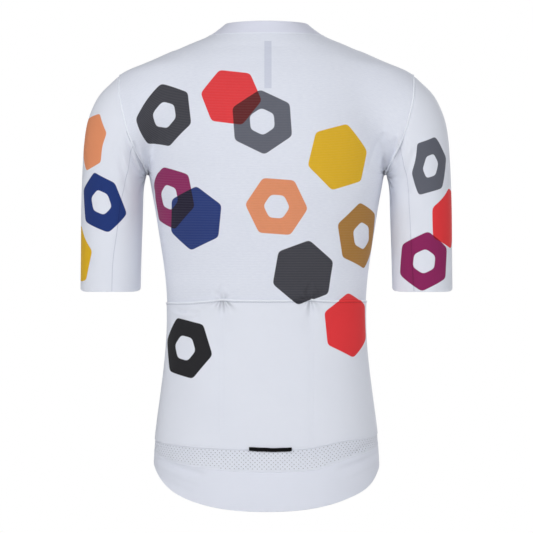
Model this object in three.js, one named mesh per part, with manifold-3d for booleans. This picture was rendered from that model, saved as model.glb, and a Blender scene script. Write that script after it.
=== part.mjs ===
// Short-sleeved cycling jersey, worn shape with no wearer: full-length zip, three rear pockets,
// mesh band, gripper hem with a dropped tail.
// Millimetres. +Z up, +Y towards the wearer's back, +X towards the wearer's left.
// The origin is the middle of the neck, level with the ends of the shoulder seams at the collar.
import * as THREE from "three";
import { mergeVertices } from "three/addons/utils/BufferGeometryUtils.js";
import Module from "manifold-3d";

const { lerp, clamp, smoothstep } = THREE.MathUtils;

// Cloth and seams
const SEAM_GAP = 0.3; // between two pieces that are sewn together
const PANEL_WALL = 1.2;
const BAND_WALL = 1.8; // collar and hem gripper, which are two layers
const MESH_WALL = 1.0;
const POCKET_WALL = 1.2;
const TAPE_WALL = 0.8;

// Heights of the seams and edges, at the side (z) and how much lower the middle of the back is.
// Some are sewn higher or lower on the right, which fades out between two shares of the way in.
const NECK_DROP_FRONT = 47; // the front of the neck seam, below the shoulder points
const COLLAR_HEIGHT = { side: 17, back: 17, front: 25 };
const POCKET_MOUTH = { side: -381, drop: -5, right: { lift: 2.5, from: 0.1, to: 0.6 } };
const MESH_TOP = { side: -574, drop: 9, right: { lift: 8, from: 0.45, to: 0.8 } };
const MESH_BOTTOM = { side: -590, drop: 24, right: { lift: 10, from: 0.4, to: 0.75 } };
const HEM = { side: -609, drop: 60, right: { lift: -4, from: 0.2, to: 0.5 }, rounded: true };
const TAIL_CORNER = { steeper: 1.08, flat: 0.9, reach: 0.2 }; // the rounded corners of the hem behind
const FRONT_BAND_TOP = -588;
const FRONT_HEM = -609;
const CUFF_Z = -365;
const CUFF_CORNER = { rise: 5.5, power: 12 }; // how far the cuff turns up inside and outside the arm
const SHOULDER_SEAM_Y = -8; // the shoulder seam lies a little towards the front

// Zip
const ZIP_HALF = 6; // half the slot between the two fronts
const CHAIN_HALF = 2.6;
const CHAIN_THICK = 2.4;
const TAPE_REACH = 0.7; // share of the fronts' first column that the tape runs behind

const SLIDER = { length: 10.5, top: 8.4, bottom: 6.6, plate: 1.2, clear: 0.3, seat: 0.35 };
const POST = { half: 1.3, from: 1.2, to: 4.4 }; // the slider's divider, above its middle
const FLANGE = { wide: 0.8, slot: 1.5 };
const LUG = { inner: 2.0, outer: 2.9, low: -1.2, high: 2.4 };
const BAR = { radius: 0.7, stand: 2.4, lift: 0.6 }; // stands off the front plate, above the middle
const PULL = { bore: 1.0, eye: 2.0, neck: 1.6, neckEnd: 4.2, half: 3.4, length: 27, thick: 1.4, hole: 1.3 };
const PULL_TIP_CLEAR = 1.6; // the middle of the pull's tip, off the cloth

// Trim
const TAB = { left: 24, right: -34.7, low: -585.6, high: -580.7, thick: 1 }; // reflective, over the mesh seam
const NECK_STRIP = { left: 3, right: -7, low: -80, high: -4, thick: 0.8 }; // hangs inside the back neck

// Torso sections: half width, depth behind and before the middle, and exponent of the outline
const TORSO = [
  { z: 30, side: 50, back: 49.5, front: 60, square: 2.0 },
  { z: 17, side: 59, back: 52, front: 61.4, square: 2.0 },
  { z: 8, side: 70, back: 54, front: 62.8, square: 2.0 },
  { z: 3, side: 77, back: 55.5, front: 64, square: 2.0 },
  { z: -3, side: 88, back: 58, front: 65, square: 2.0 },
  { z: -10, side: 105, back: 62, front: 67, square: 2.0 },
  { z: -20, side: 128, back: 67, front: 70, square: 2.0 },
  { z: -30, side: 148, back: 73, front: 73, square: 2.0 },
  { z: -42, side: 163, back: 79, front: 76, square: 2.05 },
  { z: -56, side: 168, back: 86, front: 80, square: 2.1 },
  { z: -75, side: 171, back: 93, front: 87, square: 2.15 },
  { z: -110, side: 173, back: 102, front: 99, square: 2.2 },
  { z: -150, side: 171, back: 107, front: 111, square: 2.25 },
  { z: -197, side: 167.5, back: 107, front: 118, square: 2.3 },
  { z: -235, side: 161, back: 103, front: 120, square: 2.3 },
  { z: -290, side: 152, back: 94, front: 116, square: 2.3 },
  { z: -340, side: 144.8, back: 86, front: 110, square: 2.3 },
  { z: -385, side: 141.5, back: 81, front: 107, square: 2.3 },
  { z: -430, side: 142, back: 82, front: 107, square: 2.3 },
  { z: -480, side: 146.5, back: 89, front: 108, square: 2.3 },
  { z: -530, side: 153, back: 98, front: 110, square: 2.3 },
  { z: -580, side: 159, back: 105, front: 112, square: 2.3 },
  { z: -630, side: 161.5, back: 109, front: 113, square: 2.3 },
  { z: -700, side: 162, back: 110, front: 113, square: 2.3 },
];

// Arm sections: outer and inner x, half depth, and y of the middle
const ARM = [
  { z: -31, outer: 140, inner: 126, half: 5, mid: -2 },
  { z: -38, outer: 163, inner: 114, half: 26, mid: -1 },
  { z: -48, outer: 195, inner: 108, half: 38, mid: 0 },
  { z: -63, outer: 217, inner: 106, half: 46, mid: 1 },
  { z: -80, outer: 234.5, inner: 106, half: 52, mid: 1.5 },
  { z: -100, outer: 247, inner: 110, half: 56, mid: 2 },
  { z: -125, outer: 256, inner: 122, half: 58, mid: 2 },
  { z: -150, outer: 260, inner: 142, half: 58, mid: 1 },
  { z: -175, outer: 262, inner: 160, half: 56.5, mid: 0 },
  { z: -205, outer: 263.5, inner: 173.2, half: 54, mid: -1 },
  { z: -240, outer: 264.8, inner: 176.5, half: 52, mid: -2.5 },
  { z: -300, outer: 265.5, inner: 178.5, half: 49.5, mid: -4 },
  { z: -375, outer: 266.5, inner: 180.5, half: 48, mid: -6 },
];
const ARM_SQUARE = 2.1;
const ARM_FADE = 2.5; // how fast the arm ends above its first section
const BLEND = { pit: 7, shoulder: 40, low: -185, high: -90 }; // rounding where arm and torso meet

// Armhole seam: x at each height
const ARMHOLE = [
  { z: -40, x: 209.5 },
  { z: -63, x: 209 },
  { z: -83, x: 208 },
  { z: -113, x: 202 },
  { z: -147, x: 192 },
  { z: -172, x: 180 },
  { z: -190, x: 171.5 },
  { z: -202, x: 169.4 },
];
const ARMHOLE_MID_Z = -128;
const SHOULDER_POINT_Z = -57;

// The largest folds: a soft trough (rise under 0) or ridge between two points, seen from behind or before
const BEHIND = 1;
const BEFORE = -1;
const FOLDS = [
  { face: BEHIND, x0: -174, z0: -160, x1: -198, z1: -226, rise: -2.6, width: 10 },
  { face: BEHIND, x0: 186, z0: -172, x1: 166, z1: -222, rise: -2.2, width: 10 },
  { face: BEHIND, x0: 150, z0: -205, x1: 96, z1: -262, rise: 1.4, width: 15 },
  { face: BEHIND, x0: -148, z0: -212, x1: -104, z1: -250, rise: 1.2, width: 14 },
  { face: BEHIND, x0: 128, z0: -352, x1: 44, z1: -364, rise: 1.3, width: 13 },
  { face: BEHIND, x0: -130, z0: -358, x1: -58, z1: -366, rise: 1.2, width: 12 },
  { face: BEHIND, x0: 62, z0: -378, x1: 58, z1: -420, rise: -1.6, width: 11 },
  { face: BEHIND, x0: -62, z0: -378, x1: -60, z1: -414, rise: -1.6, width: 11 },
  { face: BEFORE, x0: 178, z0: -158, x1: 150, z1: -214, rise: -2.6, width: 11 },
  { face: BEFORE, x0: -176, z0: -162, x1: -154, z1: -220, rise: -2.4, width: 11 },
  { face: BEFORE, x0: 132, z0: -330, x1: 66, z1: -352, rise: 1.5, width: 14 },
  { face: BEFORE, x0: -128, z0: -344, x1: -72, z1: -358, rise: 1.4, width: 13 },
  { face: BEFORE, x0: 128, z0: -408, x1: 80, z1: -396, rise: -1.4, width: 12 },
];

// How finely the panels are divided
const BODY_COLUMNS = 16; // side seam to the middle, in two parts above the arm
const SHOULDER_COLUMNS = 9;
const UPPER_ROWS = 12; // armpit to shoulder
const CHEST_ROWS = 5; // armpit to pocket mouth
const POCKET_ROWS = 6;
const SLEEVE_RINGS = 11;
const COLLAR_ROWS = 2;

// Natural cubic splines through the rows of a table: a function of z that gives every column
function profile(rows) {
  const sorted = [...rows].sort((a, b) => a.z - b.z);
  const z = sorted.map((row) => row.z);
  const names = Object.keys(sorted[0]).filter((name) => name !== "z");
  const columns = names.map((name) => sorted.map((row) => row[name]));
  const bends = columns.map((values) => secondDerivatives(z, values));
  return (height) => {
    const at = clamp(height, z[0], z[z.length - 1]);
    let k = z.findIndex((top) => top >= at) - 1;
    k = clamp(k, 0, z.length - 2);
    const step = z[k + 1] - z[k];
    const a = (z[k + 1] - at) / step;
    const b = (at - z[k]) / step;
    const section = {};
    names.forEach((name, i) => {
      const [low, high] = [columns[i][k], columns[i][k + 1]];
      const curve = (a ** 3 - a) * bends[i][k] + (b ** 3 - b) * bends[i][k + 1];
      section[name] = a * low + b * high + (curve * step ** 2) / 6;
    });
    return section;
  };
}

// Second derivatives of a natural cubic spline, by forward sweep and back substitution
function secondDerivatives(z, values) {
  const bend = values.map(() => 0);
  const carry = values.map(() => 0);
  for (let i = 1; i < z.length - 1; i++) {
    const share = (z[i] - z[i - 1]) / (z[i + 1] - z[i - 1]);
    const pivot = share * bend[i - 1] + 2;
    const slopes =
      (values[i + 1] - values[i]) / (z[i + 1] - z[i]) - (values[i] - values[i - 1]) / (z[i] - z[i - 1]);
    bend[i] = (share - 1) / pivot;
    carry[i] = ((6 * slopes) / (z[i + 1] - z[i - 1]) - share * carry[i - 1]) / pivot;
  }
  bend[z.length - 1] = 0;
  for (let i = z.length - 2; i >= 0; i--) bend[i] = bend[i] * bend[i + 1] + carry[i];
  return bend;
}

const torsoAt = profile(TORSO);
const armAt = profile(ARM);
const armholeAt = profile(ARMHOLE);

// How far (x, y) lies outside a rounded outline, along the line from its middle
function outside(x, y, halfWidth, depth, square) {
  const reach = Math.hypot(x, y);
  if (reach < 1e-6) return -Math.min(halfWidth, depth);
  const ratio = ((Math.abs(x) / halfWidth) ** square + (Math.abs(y) / depth) ** square) ** (1 / square);
  return reach * (1 - 1 / ratio);
}

// The garment's outer form: under 0 inside it, 0 on the cloth, over 0 outside
function form(p) {
  const t = torsoAt(p.z);
  const torso = outside(p.x, p.y, t.side, p.y > 0 ? t.back : t.front, t.square);
  const a = armAt(p.z);
  const armMiddle = (a.outer + a.inner) / 2;
  const above = ARM_FADE * Math.max(0, p.z - ARM[0].z);
  const arm =
    outside(Math.abs(p.x) - armMiddle, p.y - a.mid, (a.outer - a.inner) / 2, a.half, ARM_SQUARE) + above;
  const rounding = lerp(BLEND.pit, BLEND.shoulder, smoothstep(p.z, BLEND.low, BLEND.high));
  const near = Math.max(rounding - Math.abs(torso - arm), 0) / rounding;
  return Math.min(torso, arm) - (near ** 2 * rounding) / 4;
}

function slope(p) {
  const step = 0.5;
  const along = (axis) => {
    const ahead = p.clone();
    const behind = p.clone();
    ahead[axis] += step;
    behind[axis] -= step;
    return (form(ahead) - form(behind)) / (2 * step);
  };
  return new THREE.Vector3(along("x"), along("y"), along("z"));
}

// First point of the cloth from an inner point, no further out in x than limit
function cast(from, direction, limit = Infinity) {
  const unit = direction.clone().normalize();
  const point = (t) => from.clone().addScaledVector(unit, t);
  const out = (t) => form(point(t)) > 0 || Math.abs(point(t).x) > limit;
  const stride = 4;
  const longest = 500;
  let far = stride;
  while (!out(far) && far < longest) far += stride;
  let near = far - stride;
  for (let i = 0; i < 30; i++) {
    const middle = (near + far) / 2;
    if (out(middle)) far = middle;
    else near = middle;
  }
  return point((near + far) / 2);
}

// Moves a point on to the cloth along the form's own slope
function settle(p) {
  const point = p.clone();
  for (let i = 0; i < 8; i++) {
    const g = slope(point);
    point.addScaledVector(g, -form(point) / g.lengthSq());
  }
  return point;
}

// Height of the folds at a point of the cloth
function foldRise(p) {
  let rise = 0;
  for (const fold of FOLDS) {
    const run = new THREE.Vector2(fold.x1 - fold.x0, fold.z1 - fold.z0);
    const away = new THREE.Vector2(p.x - fold.x0, p.z - fold.z0);
    const share = clamp(away.dot(run) / run.lengthSq(), 0, 1);
    const distance = away.addScaledVector(run, -share).length();
    const facing = smoothstep(p.y * fold.face, 4, 30);
    rise += fold.rise * facing * Math.exp(-((distance / fold.width) ** 2));
  }
  return rise;
}

// A point of the cloth with its outward direction
function clothPoint(p) {
  const n = slope(p).normalize();
  return { p: p.clone().addScaledVector(n, foldRise(p)), n };
}

function mirrored({ p, n }) {
  const flip = (v) => new THREE.Vector3(-v.x, v.y, v.z);
  return { p: flip(p), n: flip(n) };
}

const vec = (x, y, z) => new THREE.Vector3(x, y, z);

// Side seam (0) to the middle (1): the angle of each column, evenly spaced along a ring at the waist
function columnAngles(face, startX) {
  const samples = 180;
  const level = -300;
  const at = (i) => (i / samples) * (Math.PI / 2);
  const points = Array.from({ length: samples + 1 }, (_, i) =>
    cast(vec(startX, 0, level), vec(Math.cos(at(i)), face * Math.sin(at(i)), 0)),
  );
  const lengths = [0];
  for (let i = 1; i <= samples; i++) lengths.push(lengths[i - 1] + points[i].distanceTo(points[i - 1]));
  return Array.from({ length: BODY_COLUMNS + 1 }, (_, column) => {
    const wanted = (column / BODY_COLUMNS) * lengths[samples];
    const i = clamp(lengths.findIndex((length) => length >= wanted), 1, samples);
    return at(i - 1 + (wanted - lengths[i - 1]) / (lengths[i] - lengths[i - 1]));
  });
}

const armpit = armholePoint(-Math.PI / 2);
const halves = {
  back: { face: BEHIND, startX: 0, angles: columnAngles(BEHIND, 0) },
  front: { face: BEFORE, startX: ZIP_HALF, angles: columnAngles(BEFORE, ZIP_HALF) },
};

// A point of the armhole seam: angle 0 is towards the back, a quarter turn is up
function armholePoint(angle) {
  const from = vec(0, 0, ARMHOLE_MID_Z);
  const onCurtain = (t) => {
    const p = vec(0, from.y + t * Math.cos(angle), from.z + t * Math.sin(angle));
    p.x = armholeAt(p.z).x;
    return p;
  };
  let [near, far] = [0, 120];
  for (let i = 0; i < 40; i++) {
    const middle = (near + far) / 2;
    if (form(onCurtain(middle)) > 0) far = middle;
    else near = middle;
  }
  return onCurtain(near);
}

// Points up one half of the armhole seam, from the armpit to the shoulder seam
function armholeHalf(face) {
  const shoulder = Math.atan2(SHOULDER_POINT_Z - ARMHOLE_MID_Z, SHOULDER_SEAM_Y);
  const start = -Math.PI / 2;
  const end = face === BEHIND ? shoulder : shoulder - 2 * Math.PI;
  return Array.from({ length: UPPER_ROWS + 1 }, (_, i) => armholePoint(lerp(start, end, i / UPPER_ROWS)));
}

// A level ring's points at the given heights, from the side seam to the middle
function bodyRow(half, heightAt) {
  return half.angles.map((angle, column) => {
    const z = heightAt(column / BODY_COLUMNS);
    return cast(vec(half.startX, 0, z), vec(Math.cos(angle), half.face * Math.sin(angle), 0), armpit.x);
  });
}

// Share of a rounded hem's drop that is reached at a share of the way in from the side seam
function roundedCorner(u) {
  const { steeper, flat, reach } = TAIL_CORNER;
  return u * (steeper - (steeper - 1) * u ** 4 - flat * Math.exp(-((u / reach) ** 2)));
}

// Height of a slanted seam: lower in the middle of the back than at the side
const slanted = (edge, onRight = false) => (u) => {
  const lift = onRight ? edge.right.lift * (1 - smoothstep(u, edge.right.from, edge.right.to)) : 0;
  return edge.side + lift - edge.drop * Math.sin(((edge.rounded ? roundedCorner(u) : u) * Math.PI) / 2);
};

// Neck seam, or a level line above it: from the shoulder seam (0) to the middle (1)
function neckPoint(half, share, lift) {
  const shoulderX = cast(vec(0, SHOULDER_SEAM_Y, 0), vec(1, 0, 0)).x;
  const first = Math.atan2(half.face * SHOULDER_SEAM_Y, shoulderX - half.startX);
  const angle = lerp(first, Math.PI / 2, share);
  const depth = Math.sin((share * Math.PI) / 2) ** 2;
  const seam = half.face === BEFORE ? -NECK_DROP_FRONT * depth : 0;
  const height = lerp(COLLAR_HEIGHT.side, half.face === BEFORE ? COLLAR_HEIGHT.front : COLLAR_HEIGHT.back, depth);
  const z = seam + lift * height;
  return cast(vec(half.startX, 0, z), vec(Math.cos(angle), half.face * Math.sin(angle), 0));
}

// Armpit level up to the shoulder: a patch between the armhole, the shoulder and neck seams,
// the middle line and the ring at the armpit, settled on to the form
function upperRows(half) {
  const armhole = armholeHalf(half.face);
  const bottom = bodyRow(half, () => armpit.z);
  bottom[0] = armhole[0];
  const neckColumns = BODY_COLUMNS - SHOULDER_COLUMNS;
  const shoulderEnd = neckPoint(half, 0, 0).x;
  const top = bottom.map((_, column) => {
    if (column > SHOULDER_COLUMNS) return neckPoint(half, (column - SHOULDER_COLUMNS) / neckColumns, 0);
    const x = lerp(armhole[UPPER_ROWS].x, shoulderEnd, column / SHOULDER_COLUMNS);
    return cast(vec(x, SHOULDER_SEAM_Y, ARMHOLE_MID_Z), vec(0, 0, 1));
  });
  top[0] = armhole[UPPER_ROWS];
  top[SHOULDER_COLUMNS] = neckPoint(half, 0, 0);
  const centre = armhole.map((_, row) => {
    const z = lerp(armpit.z, top[BODY_COLUMNS].z, row / UPPER_ROWS);
    return cast(vec(half.startX, 0, z), vec(0, half.face, 0));
  });
  return armhole.map((_, row) => {
    const v = row / UPPER_ROWS;
    return bottom.map((_, column) => {
      if (row === 0) return bottom[column];
      if (row === UPPER_ROWS) return top[column];
      if (column === 0) return armhole[row];
      if (column === BODY_COLUMNS) return centre[row];
      const u = column / BODY_COLUMNS;
      const p = vec(0, 0, 0)
        .addScaledVector(bottom[column], 1 - v)
        .addScaledVector(top[column], v)
        .addScaledVector(armhole[row], 1 - u)
        .addScaledVector(centre[row], u)
        .addScaledVector(bottom[0], -(1 - u) * (1 - v))
        .addScaledVector(bottom[BODY_COLUMNS], -u * (1 - v))
        .addScaledVector(top[0], -(1 - u) * v)
        .addScaledVector(top[BODY_COLUMNS], -u * v);
      return settle(p);
    });
  });
}

// Rows between two slanted or level seams, both included
function rowsBetween(half, lower, upper, count) {
  return Array.from({ length: count + 1 }, (_, row) =>
    bodyRow(half, (u) => lerp(lower(u), upper(u), row / count)),
  );
}

const level = (z) => () => z;
const cloth = (rows) => rows.map((row) => row.map(clothPoint));
// The whole back from its two halves, of which the right one is mirrored
function bothSides(half) {
  const right = half(true);
  return half(false).map((row, i) => [
    ...row,
    ...right[i].slice(0, -1).reverse().map((p) => vec(-p.x, p.y, p.z)),
  ]);
}
const backStrip = (lower, upper, count) => (onRight) =>
  rowsBetween(halves.back, slanted(lower, onRight), slanted(upper, onRight), count);

// Collar: from the zip round the back to the zip, first row on the neck seam
function collarRows() {
  const neckColumns = BODY_COLUMNS - SHOULDER_COLUMNS;
  return Array.from({ length: COLLAR_ROWS + 1 }, (_, row) => {
    const lift = row / COLLAR_ROWS;
    const along = (half) =>
      Array.from({ length: neckColumns + 1 }, (_, i) => neckPoint(half, i / neckColumns, lift));
    const left = [...along(halves.front).reverse(), ...along(halves.back).slice(1)];
    const right = left.slice(0, -1).reverse();
    return [...left, ...right.map((p) => vec(-p.x, p.y, p.z))];
  });
}

// Left sleeve: rings from the armhole to the cuff, each from the underarm round the back
function sleeveRings() {
  const back = armholeHalf(BEHIND);
  const front = armholeHalf(BEFORE);
  const armhole = [...back, ...front.slice(1, -1).reverse()];
  const arm = armAt(CUFF_Z);
  const start = vec(190, 0, ARMHOLE_MID_Z);
  const end = vec((arm.outer + arm.inner) / 2, arm.mid, CUFF_Z);
  const cuff = armhole.map((_, i) => {
    const angle = Math.PI - (i / armhole.length) * 2 * Math.PI;
    const z = CUFF_Z + CUFF_CORNER.rise * Math.cos(angle) ** CUFF_CORNER.power;
    return cast(vec(end.x, end.y, z), vec(Math.cos(angle), Math.sin(angle), 0));
  });
  return Array.from({ length: SLEEVE_RINGS + 1 }, (_, ring) => {
    const t = ring / SLEEVE_RINGS;
    if (ring === 0) return armhole;
    if (ring === SLEEVE_RINGS) return cuff;
    const turn = 1 - (1 - t) ** 2;
    const middle = vec(lerp(start.x, end.x, turn), lerp(start.y, end.y, t), lerp(start.z, end.z, t));
    return armhole.map((p, i) => {
      const direction = p.clone().sub(start).lerp(cuff[i].clone().sub(end), turn);
      return cast(middle, direction);
    });
  });
}

// Draws the edge of a panel back from its seams by half the gap
function inset(rows, { first = true, last = true, sides = true } = {}) {
  const half = SEAM_GAP / 2;
  const toward = (from, to) => ({
    n: from.n,
    p: from.p.clone().addScaledVector(to.p.clone().sub(from.p).normalize(), half),
  });
  let drawn = rows.map((row) => [...row]);
  if (first) drawn[0] = rows[0].map((point, i) => toward(point, rows[1][i]));
  const end = rows.length - 1;
  if (last) drawn[end] = rows[end].map((point, i) => toward(point, rows[end - 1][i]));
  if (!sides) return drawn;
  return drawn.map((row) => {
    const trimmed = [...row];
    trimmed[0] = toward(row[0], row[1]);
    trimmed[row.length - 1] = toward(row[row.length - 1], row[row.length - 2]);
    return trimmed;
  });
}

// A wall between two offsets of a grid of cloth points, as one closed geometry. Each four-sided
// cell is split along its shorter diagonal, the same way on both faces.
function wall(rows, { outer = 0, inner, closed = false }) {
  const height = rows.length;
  const width = rows[0].length;
  const positions = [];
  for (const offset of [outer, inner])
    for (const row of rows)
      for (const { p, n } of row) positions.push(...p.clone().addScaledVector(n, offset).toArray());
  const at = (layer, row, column) => layer * height * width + row * width + (column % width);
  const index = [];
  const quad = (a, b, c, d) => index.push(a, b, c, a, c, d);
  const steps = closed ? width : width - 1;
  for (let row = 0; row < height - 1; row++)
    for (let column = 0; column < steps; column++) {
      const corners = [
        [row, column],
        [row, column + 1],
        [row + 1, column + 1],
        [row + 1, column],
      ];
      const p = corners.map(([r, c]) => rows[r][c % width].p);
      const shorter = p[0].distanceTo(p[2]) <= p[1].distanceTo(p[3]) ? 0 : 1;
      const [a, b, c, d] = [0, 1, 2, 3].map((i) => corners[(i + shorter) % 4]);
      quad(...[a, b, c, d].map(([r, i]) => at(0, r, i)));
      quad(...[a, d, c, b].map(([r, i]) => at(1, r, i)));
    }
  for (let column = 0; column < steps; column++) {
    quad(at(1, 0, column), at(1, 0, column + 1), at(0, 0, column + 1), at(0, 0, column));
    const last = height - 1;
    quad(at(0, last, column), at(0, last, column + 1), at(1, last, column + 1), at(1, last, column));
  }
  if (!closed)
    for (let row = 0; row < height - 1; row++) {
      const last = width - 1;
      quad(at(0, row + 1, 0), at(1, row + 1, 0), at(1, row, 0), at(0, row, 0));
      quad(at(0, row, last), at(1, row, last), at(1, row + 1, last), at(0, row + 1, last));
    }
  const geometry = new THREE.BufferGeometry();
  geometry.setAttribute("position", new THREE.Float32BufferAttribute(positions, 3));
  geometry.setIndex(index);
  return facingOut(geometry);
}

// Turns a closed geometry's faces outwards, from the sign of its volume
function facingOut(geometry) {
  const position = geometry.getAttribute("position");
  const index = geometry.getIndex().array;
  const corner = (i) => new THREE.Vector3().fromBufferAttribute(position, index[i]);
  let volume = 0;
  for (let i = 0; i < index.length; i += 3) volume += corner(i).dot(corner(i + 1).cross(corner(i + 2)));
  if (volume < 0)
    for (let i = 0; i < index.length; i += 3) [index[i], index[i + 1]] = [index[i + 1], index[i]];
  geometry.computeVertexNormals();
  return geometry;
}

// The part of a grid between two fractional rows and columns, with every grid line that it crosses
function patchOf(rows, fromRow, toRow, fromColumn, toColumn) {
  const stops = (from, to) => {
    const inside = [];
    for (let i = Math.floor(from) + 1; i < to - 0.02; i++) if (i > from + 0.02) inside.push(i);
    return [from, ...inside, to];
  };
  const between = (a, b, share) => ({
    p: a.p.clone().lerp(b.p, share),
    n: a.n.clone().lerp(b.n, share).normalize(),
  });
  const sample = (r, c) => {
    const [r0, c0] = [Math.min(Math.floor(r), rows.length - 2), Math.min(Math.floor(c), rows[0].length - 2)];
    const low = between(rows[r0][c0], rows[r0][c0 + 1], c - c0);
    const high = between(rows[r0 + 1][c0], rows[r0 + 1][c0 + 1], c - c0);
    return between(low, high, r - r0);
  };
  return stops(fromRow, toRow).map((r) => stops(fromColumn, toColumn).map((c) => sample(r, c)));
}

// Fractional column of a row of points at a given x, where x falls along the row
function columnAt(row, x) {
  const next = clamp(row.findIndex(({ p }) => p.x < x), 1, row.length - 1);
  const [a, b] = [row[next - 1].p.x, row[next].p.x];
  return next - 1 + (a - x) / (a - b);
}

// Fractional row of a column of points at a given z, where z rises with the rows
function rowAt(rows, column, z) {
  const next = clamp(rows.findIndex((row) => row[column].p.z > z), 1, rows.length - 1);
  const [a, b] = [rows[next - 1][column].p.z, rows[next][column].p.z];
  return next - 1 + (z - a) / (b - a);
}

// Panels as grids of cloth points, left side and whole back
const upper = { back: upperRows(halves.back), front: upperRows(halves.front) };
const backHalf = (onRight) => [
  ...backStrip(MESH_TOP, POCKET_MOUTH, POCKET_ROWS)(onRight).slice(0, -1),
  ...rowsBetween(halves.back, slanted(POCKET_MOUTH, onRight), level(armpit.z), CHEST_ROWS).slice(0, -1),
  ...upper.back,
];
const frontLower = rowsBetween(halves.front, level(FRONT_BAND_TOP), level(armpit.z), CHEST_ROWS + POCKET_ROWS);
const frontRows = [...frontLower.slice(0, -1), ...upper.front];
const grids = {
  back: cloth(bothSides(backHalf)),
  front: cloth(frontRows),
  mesh: cloth(bothSides(backStrip(MESH_BOTTOM, MESH_TOP, 1))),
  tail: cloth(bothSides(backStrip(HEM, MESH_BOTTOM, 2))),
  frontBand: cloth(rowsBetween(halves.front, level(FRONT_HEM), level(FRONT_BAND_TOP), 1)),
  collar: cloth(collarRows()),
};

const finishes = {
  knit: new THREE.MeshStandardMaterial({ color: 0xe4e7ee, roughness: 0.8, metalness: 0 }),
  mesh: new THREE.MeshStandardMaterial({ color: 0xd9dce4, roughness: 0.85, metalness: 0 }),
  gripper: new THREE.MeshStandardMaterial({ color: 0xe8eaf0, roughness: 0.7, metalness: 0 }),
  zip: new THREE.MeshStandardMaterial({ color: 0xf0f1f4, roughness: 0.5, metalness: 0 }),
  metal: new THREE.MeshStandardMaterial({ color: 0xb9bcc2, roughness: 0.35, metalness: 1 }),
  reflective: new THREE.MeshStandardMaterial({ color: 0x1c1a1d, roughness: 0.4, metalness: 0 }),
};

function mesh(name, geometry, material) {
  const made = new THREE.Mesh(geometry, material);
  made.name = name;
  return made;
}

const flipRows = (rows) => rows.map((row) => row.map(mirrored));

function backPieces() {
  const back = inset(grids.back);
  const pocketRows = grids.back.slice(0, POCKET_ROWS + 1);
  const pocket = inset(pocketRows, { last: false });
  const layer = SEAM_GAP + POCKET_WALL;
  return [
    mesh("back_panel", wall(back, { inner: -PANEL_WALL }), finishes.knit),
    mesh("pocket_panel", wall(pocket, { outer: layer, inner: SEAM_GAP }), finishes.knit),
    mesh("mesh_band", wall(inset(grids.mesh), { inner: -MESH_WALL }), finishes.mesh),
    mesh("hem_back", wall(inset(grids.tail, { first: false }), { inner: -BAND_WALL }), finishes.gripper),
  ];
}

function frontPieces() {
  const left = inset(grids.front);
  const right = inset(cloth(frontRows.map((row) => row.map((p) => vec(-p.x, p.y, p.z)))));
  const band = inset(grids.frontBand, { first: false });
  return [
    mesh("front_left", wall(left, { inner: -PANEL_WALL }), finishes.knit),
    mesh("front_right", wall(right, { inner: -PANEL_WALL }), finishes.knit),
    mesh("hem_front_left", wall(band, { inner: -BAND_WALL }), finishes.gripper),
    mesh("hem_front_right", wall(flipRows(band), { inner: -BAND_WALL }), finishes.gripper),
  ];
}

// Each sleeve is mirrored before its folds are set, because the folds differ from side to side
function sleevePieces() {
  return ["sleeve_left", "sleeve_right"].map((name, i) => {
    const rings = sleeveRings().map((ring) => ring.map((p) => (i ? vec(-p.x, p.y, p.z) : p)));
    const tube = inset(cloth(rings), { last: false, sides: false });
    return mesh(name, wall(tube, { inner: -PANEL_WALL, closed: true }), finishes.knit);
  });
}

function collarPiece() {
  return mesh("collar", wall(inset(grids.collar, { last: false }), { inner: -BAND_WALL }), finishes.knit);
}

// Stations up the left edge of the slot: the edge point, its neighbour in the panel, and the wall there
function slotStations() {
  const ofPanel = (rows, thick) => rows.map((row) => ({ edge: row[row.length - 1], next: row[row.length - 2], thick }));
  const collar = grids.collar.map((row) => ({ edge: row[0], next: row[1], thick: BAND_WALL }));
  return [
    ...ofPanel(grids.frontBand, BAND_WALL),
    ...ofPanel(grids.front, PANEL_WALL).slice(1, -1),
    ...collar,
  ];
}

// Middle plane of the tape at a station, reaching a share of the way behind the panel
function tapePoint({ edge, next, thick }, share, depth = TAPE_WALL / 2) {
  const point = (q) => q.p.clone().addScaledVector(q.n, -(thick + SEAM_GAP + depth));
  return point(edge).lerp(point(next), share);
}

// Where the slider sits: the chain's middle and the zip's upward direction there
function sliderSeat(stations) {
  const [below, top] = stations.slice(-2).map((station) => tapePoint(station, 0));
  const at = below.clone().lerp(top, SLIDER.seat);
  at.x = 0;
  return { at, tilt: Math.atan2(below.y - top.y, top.z - below.z) };
}

function tapeAndChain(stations) {
  const visible = ZIP_HALF - CHAIN_HALF - SEAM_GAP;
  const tapeRows = stations.map((station) =>
    [-visible, 0, TAPE_REACH].map((reach) => {
      const p = tapePoint(station, Math.max(reach, 0), 0);
      p.x += Math.min(reach, 0);
      return { p, n: station.edge.n };
    }),
  );
  const upright = (n) => vec(0, n.y, n.z).normalize();
  const middles = stations.map((station) => ({ p: tapePoint(station, 0), n: upright(station.edge.n) }));
  const seat = sliderSeat(stations);
  const end = seat.at.clone();
  end.z += (POST.from - SLIDER.clear) * Math.cos(seat.tilt);
  end.y -= (POST.from - SLIDER.clear) * Math.sin(seat.tilt);
  const last = { p: end, n: middles[middles.length - 1].n };
  const chainRows = [...middles.slice(0, -1), last].map(({ p, n }) =>
    [CHAIN_HALF, -CHAIN_HALF].map((x) => ({ p: vec(x, p.y, p.z), n })),
  );
  return [
    mesh("zip_tape_left", wall(tapeRows, { inner: -TAPE_WALL }), finishes.zip),
    mesh("zip_tape_right", wall(flipRows(tapeRows), { inner: -TAPE_WALL }), finishes.zip),
    mesh("zip_chain", wall(chainRows, { outer: CHAIN_THICK / 2, inner: -CHAIN_THICK / 2 }), finishes.zip),
  ];
}

const wasm = await Module();
wasm.setup();

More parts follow.
